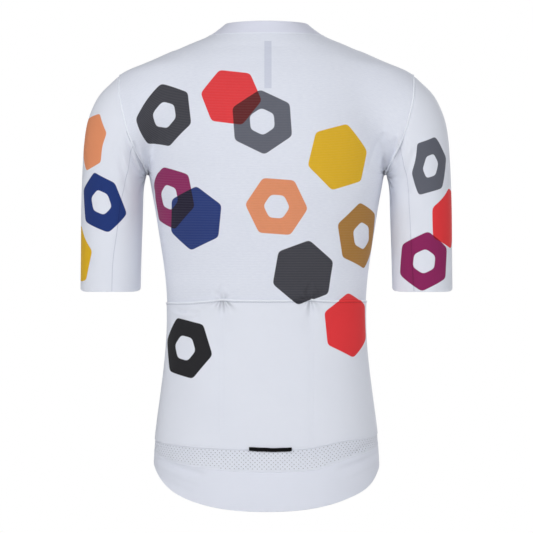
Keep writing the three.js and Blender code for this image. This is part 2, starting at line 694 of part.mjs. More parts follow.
function solidOf(geometry) {
  const bare = new THREE.BufferGeometry().setAttribute("position", geometry.getAttribute("position"));
  if (geometry.getIndex()) bare.setIndex(geometry.getIndex());
  const merged = mergeVertices(bare, 1e-4);
  return new wasm.Manifold(
    new wasm.Mesh({
      numProp: 3,
      vertProperties: merged.getAttribute("position").array,
      triVerts: new Uint32Array(merged.getIndex().array),
    }),
  );
}

function joined(geometries, cutters = []) {
  let solid = geometries.map(solidOf).reduce((a, b) => a.add(b));
  for (const cutter of cutters) solid = solid.subtract(solidOf(cutter));
  const { vertProperties, triVerts } = solid.getMesh();
  const geometry = new THREE.BufferGeometry();
  geometry.setAttribute("position", new THREE.BufferAttribute(vertProperties, 3));
  geometry.setIndex(new THREE.BufferAttribute(triVerts, 1));
  return geometry;
}

const box = (x0, x1, y0, y1, z0, z1) =>
  new THREE.BoxGeometry(x1 - x0, y1 - y0, z1 - z0).translate((x0 + x1) / 2, (y0 + y1) / 2, (z0 + z1) / 2);

// A cylinder along x
const rod = (radius, halfLength, sides) =>
  new THREE.CylinderGeometry(radius, radius, 2 * halfLength, sides).rotateZ(Math.PI / 2);

// A plate with an outline in x and z, from y0 to y1
function plate(outline, y0, y1) {
  const shape = new THREE.Shape(outline.map(([x, z]) => new THREE.Vector2(x, z)));
  const options = { depth: y1 - y0, bevelEnabled: false };
  return new THREE.ExtrudeGeometry(shape, options).rotateX(Math.PI / 2).translate(0, y1, 0);
}

// Zip slider: two plates round the chain, joined by the divider, with a bar across two lugs
function sliderGeometry() {
  const half = SLIDER.length / 2;
  const [wide, narrow, corner] = [SLIDER.top / 2, SLIDER.bottom / 2, 1.4];
  const side = [
    [narrow - corner, -half],
    [narrow, -half + corner],
    [narrow, -1],
    [wide, 1.6],
    [wide, half - corner],
    [wide - corner, half],
  ];
  const outline = [...side, ...[...side].reverse().map(([x, z]) => [-x, z])];
  const inside = CHAIN_THICK / 2 + SLIDER.clear;
  const outside = inside + SLIDER.plate;
  const overlap = 0.1;
  const flanges = [-1, 1].flatMap((x) =>
    [-1, 1].map((y) => {
      const [x0, x1] = [wide - FLANGE.wide, wide - 0.05].map((value) => value * x);
      const [y0, y1] = [FLANGE.slot / 2, inside + overlap].map((value) => value * y);
      const [low, high] = [1.7, half - corner - 0.1];
      return box(Math.min(x0, x1), Math.max(x0, x1), Math.min(y0, y1), Math.max(y0, y1), low, high);
    }),
  );
  const barY = -(outside + BAR.stand);
  const lugs = [-1, 1].map((x) => {
    const [x0, x1] = [LUG.inner * x, LUG.outer * x];
    return box(Math.min(x0, x1), Math.max(x0, x1), barY - 1, -outside + overlap, LUG.low, LUG.high);
  });
  return joined([
    plate(outline, -outside, -inside),
    plate(outline, inside, outside),
    box(-POST.half, POST.half, -inside - overlap, inside + overlap, POST.from, POST.to),
    ...flanges,
    ...lugs,
    rod(BAR.radius, LUG.inner + overlap, 16).translate(0, barY, BAR.lift),
  ]);
}

// Pull tab, hanging down from the middle of its eye
function pullGeometry() {
  const round = 10;
  const end = Array.from({ length: round + 1 }, (_, i) => {
    const angle = -Math.PI + (i / round) * Math.PI;
    return [PULL.half * Math.cos(angle), -PULL.length + PULL.half + PULL.half * Math.sin(angle)];
  });
  const shoulder = PULL.neckEnd + 1.8;
  const outline = [
    [-PULL.neck, -PULL.bore - 0.4],
    [-PULL.neck, -PULL.neckEnd],
    [-PULL.half, -shoulder],
    ...end,
    [PULL.half, -shoulder],
    [PULL.neck, -PULL.neckEnd],
    [PULL.neck, -PULL.bore - 0.4],
  ];
  const hole = new THREE.CylinderGeometry(PULL.hole, PULL.hole, 4 * PULL.thick, 16);
  hole.translate(0, 0, -PULL.length + 2 * PULL.hole + 1.4);
  return joined(
    [rod(PULL.eye, PULL.neck, 24), plate(outline, -PULL.thick / 2, PULL.thick / 2)],
    [rod(PULL.bore, PULL.neck + 1, 24), hole],
  );
}

function sliderPieces(stations) {
  const { at, tilt } = sliderSeat(stations);
  const seat = new THREE.Group();
  seat.position.copy(at);
  seat.rotation.x = tilt;
  seat.add(mesh("zip_slider", sliderGeometry(), finishes.metal));
  seat.updateMatrix();
  const standOff = CHAIN_THICK / 2 + SLIDER.clear + SLIDER.plate + BAR.stand;
  const hinge = vec(0, -standOff, BAR.lift).applyMatrix4(seat.matrix);
  const below = cast(vec(ZIP_HALF, 0, hinge.z - PULL.length), vec(0, -1, 0));
  const tip = below.addScaledVector(slope(below).normalize(), PULL_TIP_CLEAR);
  const hung = new THREE.Group();
  hung.position.copy(hinge);
  hung.rotation.x = Math.atan2(tip.y - hinge.y, hinge.z - tip.z);
  hung.add(mesh("zip_pull", pullGeometry(), finishes.metal));
  return [seat, hung];
}

function trimPieces() {
  const overSeam = [grids.mesh[0], ...grids.back.slice(0, POCKET_ROWS + 1)];
  const place = (rows, { left, right, low, high }) => {
    const edge = rows[rows.length - 1];
    const seam = rowAt(rows, BODY_COLUMNS, low) < 1 ? rows[0] : edge;
    return patchOf(
      rows,
      rowAt(rows, BODY_COLUMNS, low),
      rowAt(rows, BODY_COLUMNS, high),
      columnAt(seam, left),
      columnAt(seam, right),
    );
  };
  const onPocket = SEAM_GAP + POCKET_WALL + SEAM_GAP;
  const underBack = -PANEL_WALL - SEAM_GAP;
  return [
    mesh(
      "rear_tab",
      wall(place(overSeam, TAB), { outer: onPocket + TAB.thick, inner: onPocket }),
      finishes.reflective,
    ),
    mesh(
      "neck_strip",
      wall(place(grids.back, NECK_STRIP), { outer: underBack, inner: underBack - NECK_STRIP.thick }),
      finishes.knit,
    ),
  ];
}

const stations = slotStations();
const part = new THREE.Group();
part.add(...backPieces(), ...frontPieces(), ...sleevePieces(), collarPiece());
part.add(...tapeAndChain(stations), ...sliderPieces(stations), ...trimPieces());

export default part;
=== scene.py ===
"""A short-sleeved cycling jersey in its worn, hollow shape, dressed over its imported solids.

Lengths in the classes are millimetres, in the part's own frame: +Z up, +Y towards the wearer's back,
+X towards the wearer's left. They are turned to metres where a mesh is made.
"""

import logging
import math
from collections.abc import Sequence
from dataclasses import dataclass
from enum import Enum

import bmesh
import bpy
import numpy as np
from bpy.types import Material, Mesh, Node, NodeSocket, NodeTree, Object
from mathutils.bvhtree import BVHTree
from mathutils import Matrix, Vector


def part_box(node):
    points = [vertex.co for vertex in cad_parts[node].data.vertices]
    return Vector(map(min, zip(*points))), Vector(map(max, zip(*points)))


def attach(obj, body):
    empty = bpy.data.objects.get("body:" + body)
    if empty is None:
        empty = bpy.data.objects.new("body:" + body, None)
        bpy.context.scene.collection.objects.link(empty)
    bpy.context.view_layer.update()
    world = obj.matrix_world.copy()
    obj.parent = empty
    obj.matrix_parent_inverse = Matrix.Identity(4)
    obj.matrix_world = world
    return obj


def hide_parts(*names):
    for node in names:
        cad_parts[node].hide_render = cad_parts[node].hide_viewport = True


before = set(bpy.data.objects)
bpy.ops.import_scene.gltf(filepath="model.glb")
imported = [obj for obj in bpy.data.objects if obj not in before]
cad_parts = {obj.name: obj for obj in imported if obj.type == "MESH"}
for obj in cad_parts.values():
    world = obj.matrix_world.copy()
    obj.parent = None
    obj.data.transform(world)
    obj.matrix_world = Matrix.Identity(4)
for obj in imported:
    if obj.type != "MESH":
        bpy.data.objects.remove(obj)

MM = 0.001
SEAM_GAP = 0.3  # between two pieces of cloth, in millimetres
FLIP = np.array([-1.0, 1, 1])  # turns left into right
log = logging.getLogger("jersey")


class Side(Enum):
    """Which half of the garment a piece of cloth or a crease is on."""

    BEHIND = 1
    BEFORE = -1


class Stitch(Enum):
    """How a row of stitches runs along its seam."""

    STRAIGHT = "straight"
    ZIGZAG = "zigzag"


# ---------------------------------------------------------------- form


def smooth_step(value: np.ndarray, low: float, high: float) -> np.ndarray:
    """A soft rise from 0 at low to 1 at high."""
    t = np.clip((value - low) / (high - low), 0.0, 1.0)
    return t * t * (3.0 - 2.0 * t)


def unit(vectors: np.ndarray) -> np.ndarray:
    """The same directions with a length of 1."""
    return vectors / np.maximum(np.linalg.norm(vectors, axis=-1, keepdims=True), 1e-12)


@dataclass
class SectionTable:
    """Natural cubic splines through the columns of a table, whose first column is the height."""

    rows: Sequence[tuple[float, ...]]

    def __post_init__(self) -> None:
        """Works out the second derivatives at each row."""
        table = np.array(sorted(self.rows), float)
        self.z, self.columns = table[:, 0], table[:, 1:]
        count, step = len(self.z), np.diff(self.z)
        system = np.zeros((count, count))
        system[0, 0] = system[-1, -1] = 1.0
        right = np.zeros_like(self.columns)
        for i in range(1, count - 1):
            system[i, i - 1 : i + 2] = step[i - 1], 2 * (step[i - 1] + step[i]), step[i]
            rises = np.diff(self.columns[i - 1 : i + 2], axis=0) / step[i - 1 : i + 1, None]
            right[i] = 6 * (rises[1] - rises[0])
        self.bends = np.linalg.solve(system, right)

    def at(self, height: np.ndarray) -> np.ndarray:
        """Every column at the given heights.

        Args:
            height: Heights, in an array of any shape.

        Returns:
            An array with one leading entry for each column of the table.
        """
        z = np.clip(height, self.z[0], self.z[-1])
        k = np.clip(np.searchsorted(self.z, z) - 1, 0, len(self.z) - 2)
        step = self.z[k + 1] - self.z[k]
        a = ((self.z[k + 1] - z) / step)[..., None]
        b = 1.0 - a
        curve = (a**3 - a) * self.bends[k] + (b**3 - b) * self.bends[k + 1]
        values = a * self.columns[k] + b * self.columns[k + 1] + curve * (step**2)[..., None] / 6
        return np.moveaxis(values, -1, 0)


@dataclass
class GarmentForm:
    """The outer form that all the cloth lies on: a torso and two arms, softly joined."""

    # height, half width, depth behind and before the middle, exponent of the outline
    torso: Sequence[tuple[float, ...]] = (
        (30, 50, 49.5, 60, 2.0),
        (17, 59, 52, 61.4, 2.0),
        (8, 70, 54, 62.8, 2.0),
        (3, 77, 55.5, 64, 2.0),
        (-3, 88, 58, 65, 2.0),
        (-10, 105, 62, 67, 2.0),
        (-20, 128, 67, 70, 2.0),
        (-30, 148, 73, 73, 2.0),
        (-42, 163, 79, 76, 2.05),
        (-56, 168, 86, 80, 2.1),
        (-75, 171, 93, 87, 2.15),
        (-110, 173, 102, 99, 2.2),
        (-150, 171, 107, 111, 2.25),
        (-197, 167.5, 107, 118, 2.3),
        (-235, 161, 103, 120, 2.3),
        (-290, 152, 94, 116, 2.3),
        (-340, 144.8, 86, 110, 2.3),
        (-385, 141.5, 81, 107, 2.3),
        (-430, 142, 82, 107, 2.3),
        (-480, 146.5, 89, 108, 2.3),
        (-530, 153, 98, 110, 2.3),
        (-580, 159, 105, 112, 2.3),
        (-630, 161.5, 109, 113, 2.3),
        (-700, 162, 110, 113, 2.3),
    )
    # height, outer and inner x, half depth, y of the middle
    arm: Sequence[tuple[float, ...]] = (
        (-31, 140, 126, 5, -2),
        (-38, 163, 114, 26, -1),
        (-48, 195, 108, 38, 0),
        (-63, 217, 106, 46, 1),
        (-80, 234.5, 106, 52, 1.5),
        (-100, 247, 110, 56, 2),
        (-125, 256, 122, 58, 2),
        (-150, 260, 142, 58, 1),
        (-175, 262, 160, 56.5, 0),
        (-205, 263.5, 173.2, 54, -1),
        (-240, 264.8, 176.5, 52, -2.5),
        (-300, 265.5, 178.5, 49.5, -4),
        (-375, 266.5, 180.5, 48, -6),
    )
    arm_square: float = 2.1
    arm_fade: float = 2.5
    arm_top: float = -31.0
    pit_rounding: float = 7.0
    shoulder_rounding: float = 40.0
    rounding_low: float = -185.0
    rounding_high: float = -90.0

    def __post_init__(self) -> None:
        """Sets up the two tables of sections."""
        self.torso_at = SectionTable(self.torso).at
        self.arm_at = SectionTable(self.arm).at

    @staticmethod
    def outside(x: np.ndarray, y: np.ndarray, half: np.ndarray, depth: np.ndarray, square: float) -> np.ndarray:
        """How far points lie outside a rounded outline, along the line from its middle."""
        reach = np.hypot(x, y)
        ratio = ((np.abs(x) / half) ** square + (np.abs(y) / depth) ** square) ** (1.0 / square)
        return np.where(reach < 1e-6, -np.minimum(half, depth), reach * (1.0 - 1.0 / np.maximum(ratio, 1e-9)))

    def field(self, p: np.ndarray) -> np.ndarray:
        """The form's value at points: under 0 inside, 0 on the cloth, over 0 outside."""
        x, y, z = p[..., 0], p[..., 1], p[..., 2]
        side, back, front, square = self.torso_at(z)
        torso = self.outside(x, y, side, np.where(y > 0, back, front), square)
        outer, inner, half, middle = self.arm_at(z)
        above = self.arm_fade * np.maximum(0.0, z - self.arm_top)
        arm = self.outside(np.abs(x) - (outer + inner) / 2, y - middle, (outer - inner) / 2, half, self.arm_square)
        arm = arm + above
        share = smooth_step(z, self.rounding_low, self.rounding_high)
        rounding = self.pit_rounding + (self.shoulder_rounding - self.pit_rounding) * share
        near = np.maximum(rounding - np.abs(torso - arm), 0.0) / rounding
        return np.minimum(torso, arm) - near**2 * rounding / 4

    def slope(self, p: np.ndarray) -> np.ndarray:
        """The form's slope at points, by differences over half a millimetre each way."""
        steps = np.eye(3) * 0.5
        return np.stack([self.field(p + s) - self.field(p - s) for s in steps], axis=-1)

    def normals(self, p: np.ndarray) -> np.ndarray:
        """The outward directions at points of the cloth."""
        return unit(self.slope(p))

    def settle(self, p: np.ndarray) -> np.ndarray:
        """Moves points on to the cloth along the form's own slope."""
        for _ in range(6):
            g = self.slope(p)
            p = p - g * (self.field(p) / np.maximum((g * g).sum(-1), 1e-9))[..., None]
        return p

    def cast(
        self, start: np.ndarray, direction: np.ndarray, limit: float = np.inf, stride: float = 4.0
    ) -> np.ndarray:
        """First point of the cloth on each ray.

        Args:
            start: Points inside the form.
            direction: One direction for each ray.
            limit: No point lies further out than this in x.
            stride: Step of the search for the first way out, or 0 where each ray leaves only once.

        Returns:
            The points, in the shape of direction.
        """
        aim = unit(direction)
        origin = np.broadcast_to(start, aim.shape)
        reach = 320.0

        def out(t: np.ndarray) -> np.ndarray:
            """True where the rays are outside at t."""
            p = origin + aim * t[..., None]
            return (self.field(p) > 0) | (np.abs(p[..., 0]) > limit)

        far = np.full(aim.shape[:-1], reach)
        near = np.zeros(aim.shape[:-1])
        if stride:
            found = np.zeros(far.shape, bool)
            for t in np.arange(stride, reach, stride):
                now = ~found & out(np.full(far.shape, t))
                far[now] = t
                found |= now
                if found.all():
                    break
            near = far - stride
        for _ in range(24):
            middle = (near + far) / 2
            beyond = out(middle)
            far = np.where(beyond, middle, far)
            near = np.where(beyond, near, middle)
        return origin + aim * ((near + far) / 2)[..., None]


@dataclass(frozen=True)
class Crease:
    """A soft trough (rise under 0) or ridge between two points, seen from behind or before."""

    side: Side
    x0: float
    z0: float
    x1: float
    z1: float
    rise: float
    width: float
    bend: float = 0.0
    fades: bool = True

    def height(self, p: np.ndarray) -> np.ndarray:
        """How far the crease lifts the cloth at points."""
        run = np.array([self.x1 - self.x0, self.z1 - self.z0])
        length = float(np.hypot(*run))
        along, across = run / length, np.array([-run[1], run[0]]) / length
        away = p[..., [0, 2]] - np.array([self.x0, self.z0])
        share = np.clip(away @ along / length, 0.0, 1.0)
        past = away @ along - share * length
        lateral = away @ across - self.bend * 4 * share * (1 - share)
        near, far = (-4.0, 12.0) if self.fades else (4.0, 30.0)
        facing = smooth_step(p[..., 1] * self.side.value, near, far)
        rise = self.rise * facing * np.exp(-(past**2 + lateral**2) / self.width**2)
        return rise * (4 * share * (1 - share)) ** 0.6 if self.fades else rise


B, F = Side.BEHIND, Side.BEFORE
# The largest folds, which the solids have too
MAIN_FOLDS: tuple[Crease, ...] = tuple(
    Crease(*row, fades=False)
    for row in (
        (B, -174, -160, -198, -226, -2.6, 10),
        (B, 186, -172, 166, -222, -2.2, 10),
        (B, 150, -205, 96, -262, 1.4, 15),
        (B, -148, -212, -104, -250, 1.2, 14),
        (B, 128, -352, 44, -364, 1.3, 13),
        (B, -130, -358, -58, -366, 1.2, 12),
        (B, 62, -378, 58, -420, -1.6, 11),
        (B, -62, -378, -60, -414, -1.6, 11),
        (F, 178, -158, 150, -214, -2.6, 11),
        (F, -176, -162, -154, -220, -2.4, 11),
        (F, 132, -330, 66, -352, 1.5, 14),
        (F, -128, -344, -72, -358, 1.4, 13),
        (F, 128, -408, 80, -396, -1.4, 12),
    )
)
# Fine creases: armpits, sleeves, round the bar tacks and under the pocket mouth
FINE_CREASES: tuple[Crease, ...] = tuple(
    Crease(*row)
    for row in (
        (B, 200, -138, 180, -194, -2.8, 2.8, 1.5),
        (B, 193, -142, 176, -193, 1.4, 2.8, 1.5),
        (B, 187, -152, 172, -197, -2.8, 2.6, 1.0),
        (B, 180, -160, 165, -203, 1.4, 2.8, -1.5),
        (B, 164, -164, 146, -196, 0.8, 4.0, 3),
        (B, 206, -150, 190, -206, 1.4, 3.4, 2),
        (B, 213, -160, 196, -226, -1.6, 3.8, -2),
        (B, -196, -132, -178, -192, -2.8, 2.8, -1.5),
        (B, -188, -136, -172, -190, 1.4, 2.8, -2),
        (B, -182, -146, -167, -198, -2.8, 2.6, -1.0),
        (B, -174, -148, -156, -200, 1.3, 3.0, 2),
        (B, -166, -140, -144, -196, -1.8, 3.6, 4),
        (B, -204, -150, -188, -204, 1.4, 3.6, -2),
        (B, -211, -162, -194, -228, -1.6, 4.0, 3),
        (B, 262, -158, 206, -168, 0.7, 8.0, -4),
        (B, -262, -152, -210, -166, 0.7, 8.0, 4),
        (B, 70, -372, 60, -354, -1.6, 2.6, 0),
        (B, 54, -371, 62, -356, 1.1, 2.6, 0),
        (B, 63, -379, 63, -400, -1.2, 3.4, 0),
        (B, -54, -373, -63, -350, -1.8, 2.6, 0),
        (B, -74, -373, -62, -353, 1.6, 2.6, 0),
        (B, -80, -371, -70, -362, -1.4, 2.4, 0),
        (B, -62, -379, -62, -400, -1.2, 3.4, 0),
        (B, 139, -386, 92, -392, -1.6, 2.8, 3),
        (B, 136, -391, 100, -398, 1.2, 2.8, 3),
        (B, 122, -402, 92, -389, 1.2, 2.8, -3),
        (B, 118, -409, 94, -399, -1.2, 3.0, -2),
        (B, 20, -384, -26, -388, -0.5, 5.0, 2),
        (B, -36, -383, -56, -392, -0.6, 4.0, 2),
        (B, -84, -388, -128, -392, 0.6, 5.0, -3),
        (B, -96, -400, -122, -396, -0.5, 5.0, 0),
        (B, 136, -300, 84, -318, 0.6, 12.0, 5),
        (B, -140, -290, -90, -306, 0.5, 12.0, -4),
        (B, 157, -598, 84, -619, -2.4, 4.4, 2),
        (B, 156, -606, 90, -630, 1.3, 5.0, 2),
        (B, 148, -626, 104, -646, -1.2, 6.0, 2),
        (B, -158, -594, -96, -613, -2.4, 4.4, -2),
        (B, -157, -602, -100, -624, 1.2, 5.0, -2),
        (B, -159, -574, -112, -597, -1.5, 3.0, 2),
        (B, -104, -618, -70, -650, 0.5, 12.0, 0),
        (F, 192, -130, 168, -190, -1.1, 4.5, 2),
        (F, 184, -124, 154, -178, 0.8, 4.5, 3),
        (F, 172, -142, 138, -200, -0.9, 5.0, -4),
        (F, 208, -160, 188, -220, 0.8, 5.5, 2),
        (F, -190, -132, -168, -188, -1.1, 4.5, -2),
        (F, -180, -126, -152, -182, 0.9, 4.5, -3),
        (F, -170, -146, -140, -206, -0.9, 5.0, 3),
        (F, -206, -156, -188, -226, 0.9, 5.5, -2),
        (F, 44, -420, 14, -428, 0.6, 7.0, 2),
        (F, -52, -402, -14, -412, 0.6, 7.0, -2),
        (F, 120, -300, 60, -312, -0.6, 11.0, 4),
        (F, -124, -310, -70, -330, 0.6, 11.0, -4),
        (F, 34, -120, 12, -150, 0.5, 8.0, 0),
        (F, -30, -96, -12, -124, 0.5, 8.0, 0),
        (F, 262, -160, 214, -172, 0.6, 8.0, 3),
        (F, -262, -156, -212, -170, 0.6, 8.0, -3),
    )
)


@dataclass(frozen=True)
class SeamLine:
    """Height of a seam across the back: at the side, and how much lower it is in the middle.

    On the right it may be sewn higher or lower, which fades out between two shares of the way in.
    """

    side: float
    drop: float = 0.0
    lift: float = 0.0
    fade: tuple[float, float] = (0.2, 0.6)
    rounded: bool = False

    def height(self, u: np.ndarray, right: np.ndarray | bool = False) -> np.ndarray:
        """Heights at shares of the way in from the side seam.

        Args:
            u: Shares, 0 at the side seam and 1 in the middle.
            right: True where the share is on the right half.

        Returns:
            The heights.
        """
        way = u
        if self.rounded:  # the corners of the tail
            way = u * (1.08 - 0.08 * u**4 - 0.9 * np.exp(-((u / 0.2) ** 2)))
        tilt = self.lift * (1 - smooth_step(u, *self.fade)) * np.asarray(right, float)
        return self.side + tilt - self.drop * np.sin(way * math.pi / 2)


@dataclass
class Pattern:
    """The lines that the garment is cut and sewn on, worked out on its form."""

    form: GarmentForm
    zip_half: float = 6.0
    neck_drop: float = 47.0
    collar_side: float = 17.0
    collar_back: float = 17.0
    collar_front: float = 25.0
    pocket_mouth: SeamLine = SeamLine(-381.0, -5.0, 2.5, (0.1, 0.6))
    mesh_top: SeamLine = SeamLine(-574.0, 9.0, 8.0, (0.45, 0.8))
    mesh_bottom: SeamLine = SeamLine(-590.0, 24.0, 10.0, (0.4, 0.75))
    hem: SeamLine = SeamLine(-609.0, 60.0, -4.0, (0.2, 0.5), rounded=True)
    front_band_top: SeamLine = SeamLine(-588.0)
    front_hem: SeamLine = SeamLine(-609.0)
    cuff: float = -365.0
    cuff_corner: tuple[float, int] = (5.5, 12)  # how far the cuff turns up inside and outside the arm
    shoulder_y: float = -8.0
    shoulder_z: float = -57.0
    armhole_middle: float = -128.0
    shoulder_share: float = 9 / 16  # of the columns, from the armhole to the neck
    armhole: Sequence[tuple[float, float]] = (
        (-40, 209.5),
        (-63, 209),
        (-83, 208),
        (-113, 202),
        (-147, 192),
        (-172, 180),
        (-190, 171.5),
        (-202, 169.4),
    )

    def __post_init__(self) -> None:
        """Works out the armpit and how the columns spread round the body."""
        self.armhole_x = SectionTable(self.armhole).at
        self.armpit = self.armhole_points(np.array([-math.pi / 2]))[0]
        turns = np.linspace(0, math.pi / 2, 181)
        self.spread = {}
        for side in Side:
            aim = np.stack([np.cos(turns), side.value * np.sin(turns), 0 * turns], -1)
            ring = self.form.cast(np.array([self.start_x(side), 0, -300.0]), aim)
            lengths = np.concatenate([[0], np.cumsum(np.linalg.norm(np.diff(ring, axis=0), axis=1))])
            self.spread[side] = (lengths / lengths[-1], turns)
            log.info("half girth at the chest %s: %.0f mm", side.name.lower(), lengths[-1])

    def start_x(self, side: Side) -> float:
        """x of the middle line that a half's columns are measured from."""
        return 0.0 if side is Side.BEHIND else self.zip_half

    def armhole_points(self, angle: np.ndarray) -> np.ndarray:
        """Points of the armhole seam: angle 0 is towards the back, a quarter turn is up."""
        near, far = np.zeros(angle.shape), np.full(angle.shape, 120.0)

        def on_curtain(t: np.ndarray) -> np.ndarray:
            """Points on the slanted surface that the sleeve is cut along."""
            z = self.armhole_middle + t * np.sin(angle)
            return np.stack([self.armhole_x(z)[0], t * np.cos(angle), z], -1)

        for _ in range(40):
            middle = (near + far) / 2
            beyond = self.form.field(on_curtain(middle)) > 0
            far = np.where(beyond, middle, far)
            near = np.where(beyond, near, middle)
        return on_curtain(near)

    def armhole_half(self, side: Side, v: np.ndarray) -> np.ndarray:
        """Points up one half of the armhole, from the armpit (0) to the shoulder seam (1)."""
        top = math.atan2(self.shoulder_z - self.armhole_middle, self.shoulder_y)
        end = top if side is Side.BEHIND else top - 2 * math.pi
        return self.armhole_points(-math.pi / 2 + v * (end + math.pi / 2))

    def ring(self, side: Side, u: np.ndarray, z: np.ndarray) -> np.ndarray:
        """Points of the body below the armpits: u runs from the side seam (0) to the middle (1)."""
        turn = np.interp(u, *self.spread[side])
        aim = np.stack([np.cos(turn), side.value * np.sin(turn), 0 * turn], -1)
        start = np.stack([np.full(z.shape, self.start_x(side)), 0 * z, z], -1)
        return self.form.cast(start, aim, limit=float(self.armpit[0]), stride=0)

    def neck(self, side: Side, share: np.ndarray, lift: np.ndarray | float = 0.0) -> np.ndarray:
        """Points of the neck seam, or above it by a share of the collar: share 0 is at the shoulder seam.

        Args:
            side: Back or front.
            share: Shares of the way to the middle line.
            lift: Share of the collar's height.

        Returns:
            One point for each share.
        """
        shoulder = self.form.cast(np.array([0, self.shoulder_y, 0.0]), np.array([[1.0, 0, 0]]))[0, 0]
        first = math.atan2(side.value * self.shoulder_y, shoulder - self.start_x(side))
        turn = first + (math.pi / 2 - first) * share
        depth = np.sin(share * math.pi / 2) ** 2
        middle = self.collar_front if side is Side.BEFORE else self.collar_back
        height = self.collar_side + (middle - self.collar_side) * depth
        z = (-self.neck_drop * depth if side is Side.BEFORE else 0 * depth) + lift * height
        aim = np.stack([np.cos(turn), side.value * np.sin(turn), 0 * turn], -1)
        start = np.stack([np.full(z.shape, self.start_x(side)), 0 * z, z], -1)
        return self.form.cast(start, aim)

    def upper(self, side: Side, u: np.ndarray, v: np.ndarray) -> np.ndarray:
        """Armpit level (v 0) up to the shoulder and neck (v 1): a patch between its four seams.

        Args:
            side: Back or front.
            u: Columns, from the armhole (0) to the middle line (1).
            v: Rows.

        Returns:
            Points of the cloth, one row for each v.
        """
        pit = float(self.armpit[2])
        armhole = self.armhole_half(side, v)
        bottom = self.ring(side, u, np.full(u.shape, pit))
        bottom[0] = armhole[0]
        share = np.clip((u - self.shoulder_share) / (1 - self.shoulder_share), 0, 1)
        neck = self.neck(side, share)
        end = self.neck(side, np.zeros(1))[0]
        along = np.clip(u / self.shoulder_share, 0, 1)
        x = armhole[-1, 0] + (end[0] - armhole[-1, 0]) * along
        start = np.stack([x, np.full(x.shape, self.shoulder_y), np.full(x.shape, self.armhole_middle)], -1)
        seam = self.form.cast(start, np.broadcast_to([0.0, 0, 1], start.shape))
        top = np.where((u > self.shoulder_share - 1e-9)[:, None], neck, seam)
        top[0] = armhole[-1]
        z = pit + (top[-1, 2] - pit) * v
        start = np.stack([np.full(z.shape, self.start_x(side)), 0 * z, z], -1)
        centre = self.form.cast(start, np.broadcast_to([0.0, side.value, 0], start.shape))
        s, t = u[None, :, None], v[:, None, None]
        patch = (1 - t) * bottom[None] + t * top[None] + (1 - s) * armhole[:, None] + s * centre[:, None]
        patch = patch - (1 - s) * (1 - t) * bottom[0] - s * (1 - t) * bottom[-1]
        patch = patch - (1 - s) * t * top[0] - s * t * top[-1]
        patch[1:-1, 1:-1] = self.form.settle(patch[1:-1, 1:-1])
        patch[0], patch[-1], patch[:, 0], patch[:, -1] = bottom, top, armhole, centre
        return patch

    def sleeve(self, columns: int, t: np.ndarray) -> np.ndarray:
        """Rings of the left sleeve, armhole (t 0) to cuff (t 1), each from the underarm round the back.

        Args:
            columns: Points in a ring.
            t: Shares of the way down.

        Returns:
            One ring for each share.
        """
        half = columns // 2
        v = np.linspace(0, 1, half + 1)
        armhole = np.concatenate([self.armhole_half(B, v), self.armhole_half(F, v)[1:-1][::-1]])
        outer, inner, _, middle = self.form.arm_at(np.array(self.cuff))
        start = np.array([190.0, 0.0, self.armhole_middle])
        end = np.array([(outer + inner) / 2, middle, self.cuff])
        turn = math.pi - np.arange(columns) / columns * 2 * math.pi
        rise, power = self.cuff_corner
        origin = end + np.stack([0 * turn, 0 * turn, rise * np.cos(turn) ** power], -1)
        cuff = self.form.cast(origin, np.stack([np.cos(turn), np.sin(turn), 0 * turn], -1))
        rings = [armhole]
        for share in t[1:-1]:
            eased = 1 - (1 - share) ** 2
            origin = start + (end - start) * np.array([eased, share, share])
            rings.append(self.form.cast(origin, (armhole - start) * (1 - eased) + (cuff - end) * eased))
        return np.stack([*rings, cuff])


def stops(length: float, pitch: float, first: bool = True, last: bool = True) -> np.ndarray:
    """Shares of a length at an even pitch, closer together beside its seams.

    Args:
        length: The length.
        pitch: Wanted distance.
        first: A seam at the start.
        last: A seam at the end.

    Returns:
        The shares, from 0 to 1.
    """
    even = np.linspace(0, 1, max(2, round(length / pitch)) + 1)
    close = np.array([0.5, 1.1, 1.9]) / length
    even = even[(even < 1e-9) | (even > close[-1] * 1.3 if first else even >= 0)]
    even = even[(even > 1 - 1e-9) | (even < 1 - close[-1] * 1.3 if last else even <= 1)]
    return np.unique(np.concatenate([even, close if first else [], 1 - close if last else []]))


# ---------------------------------------------------------------- cloth


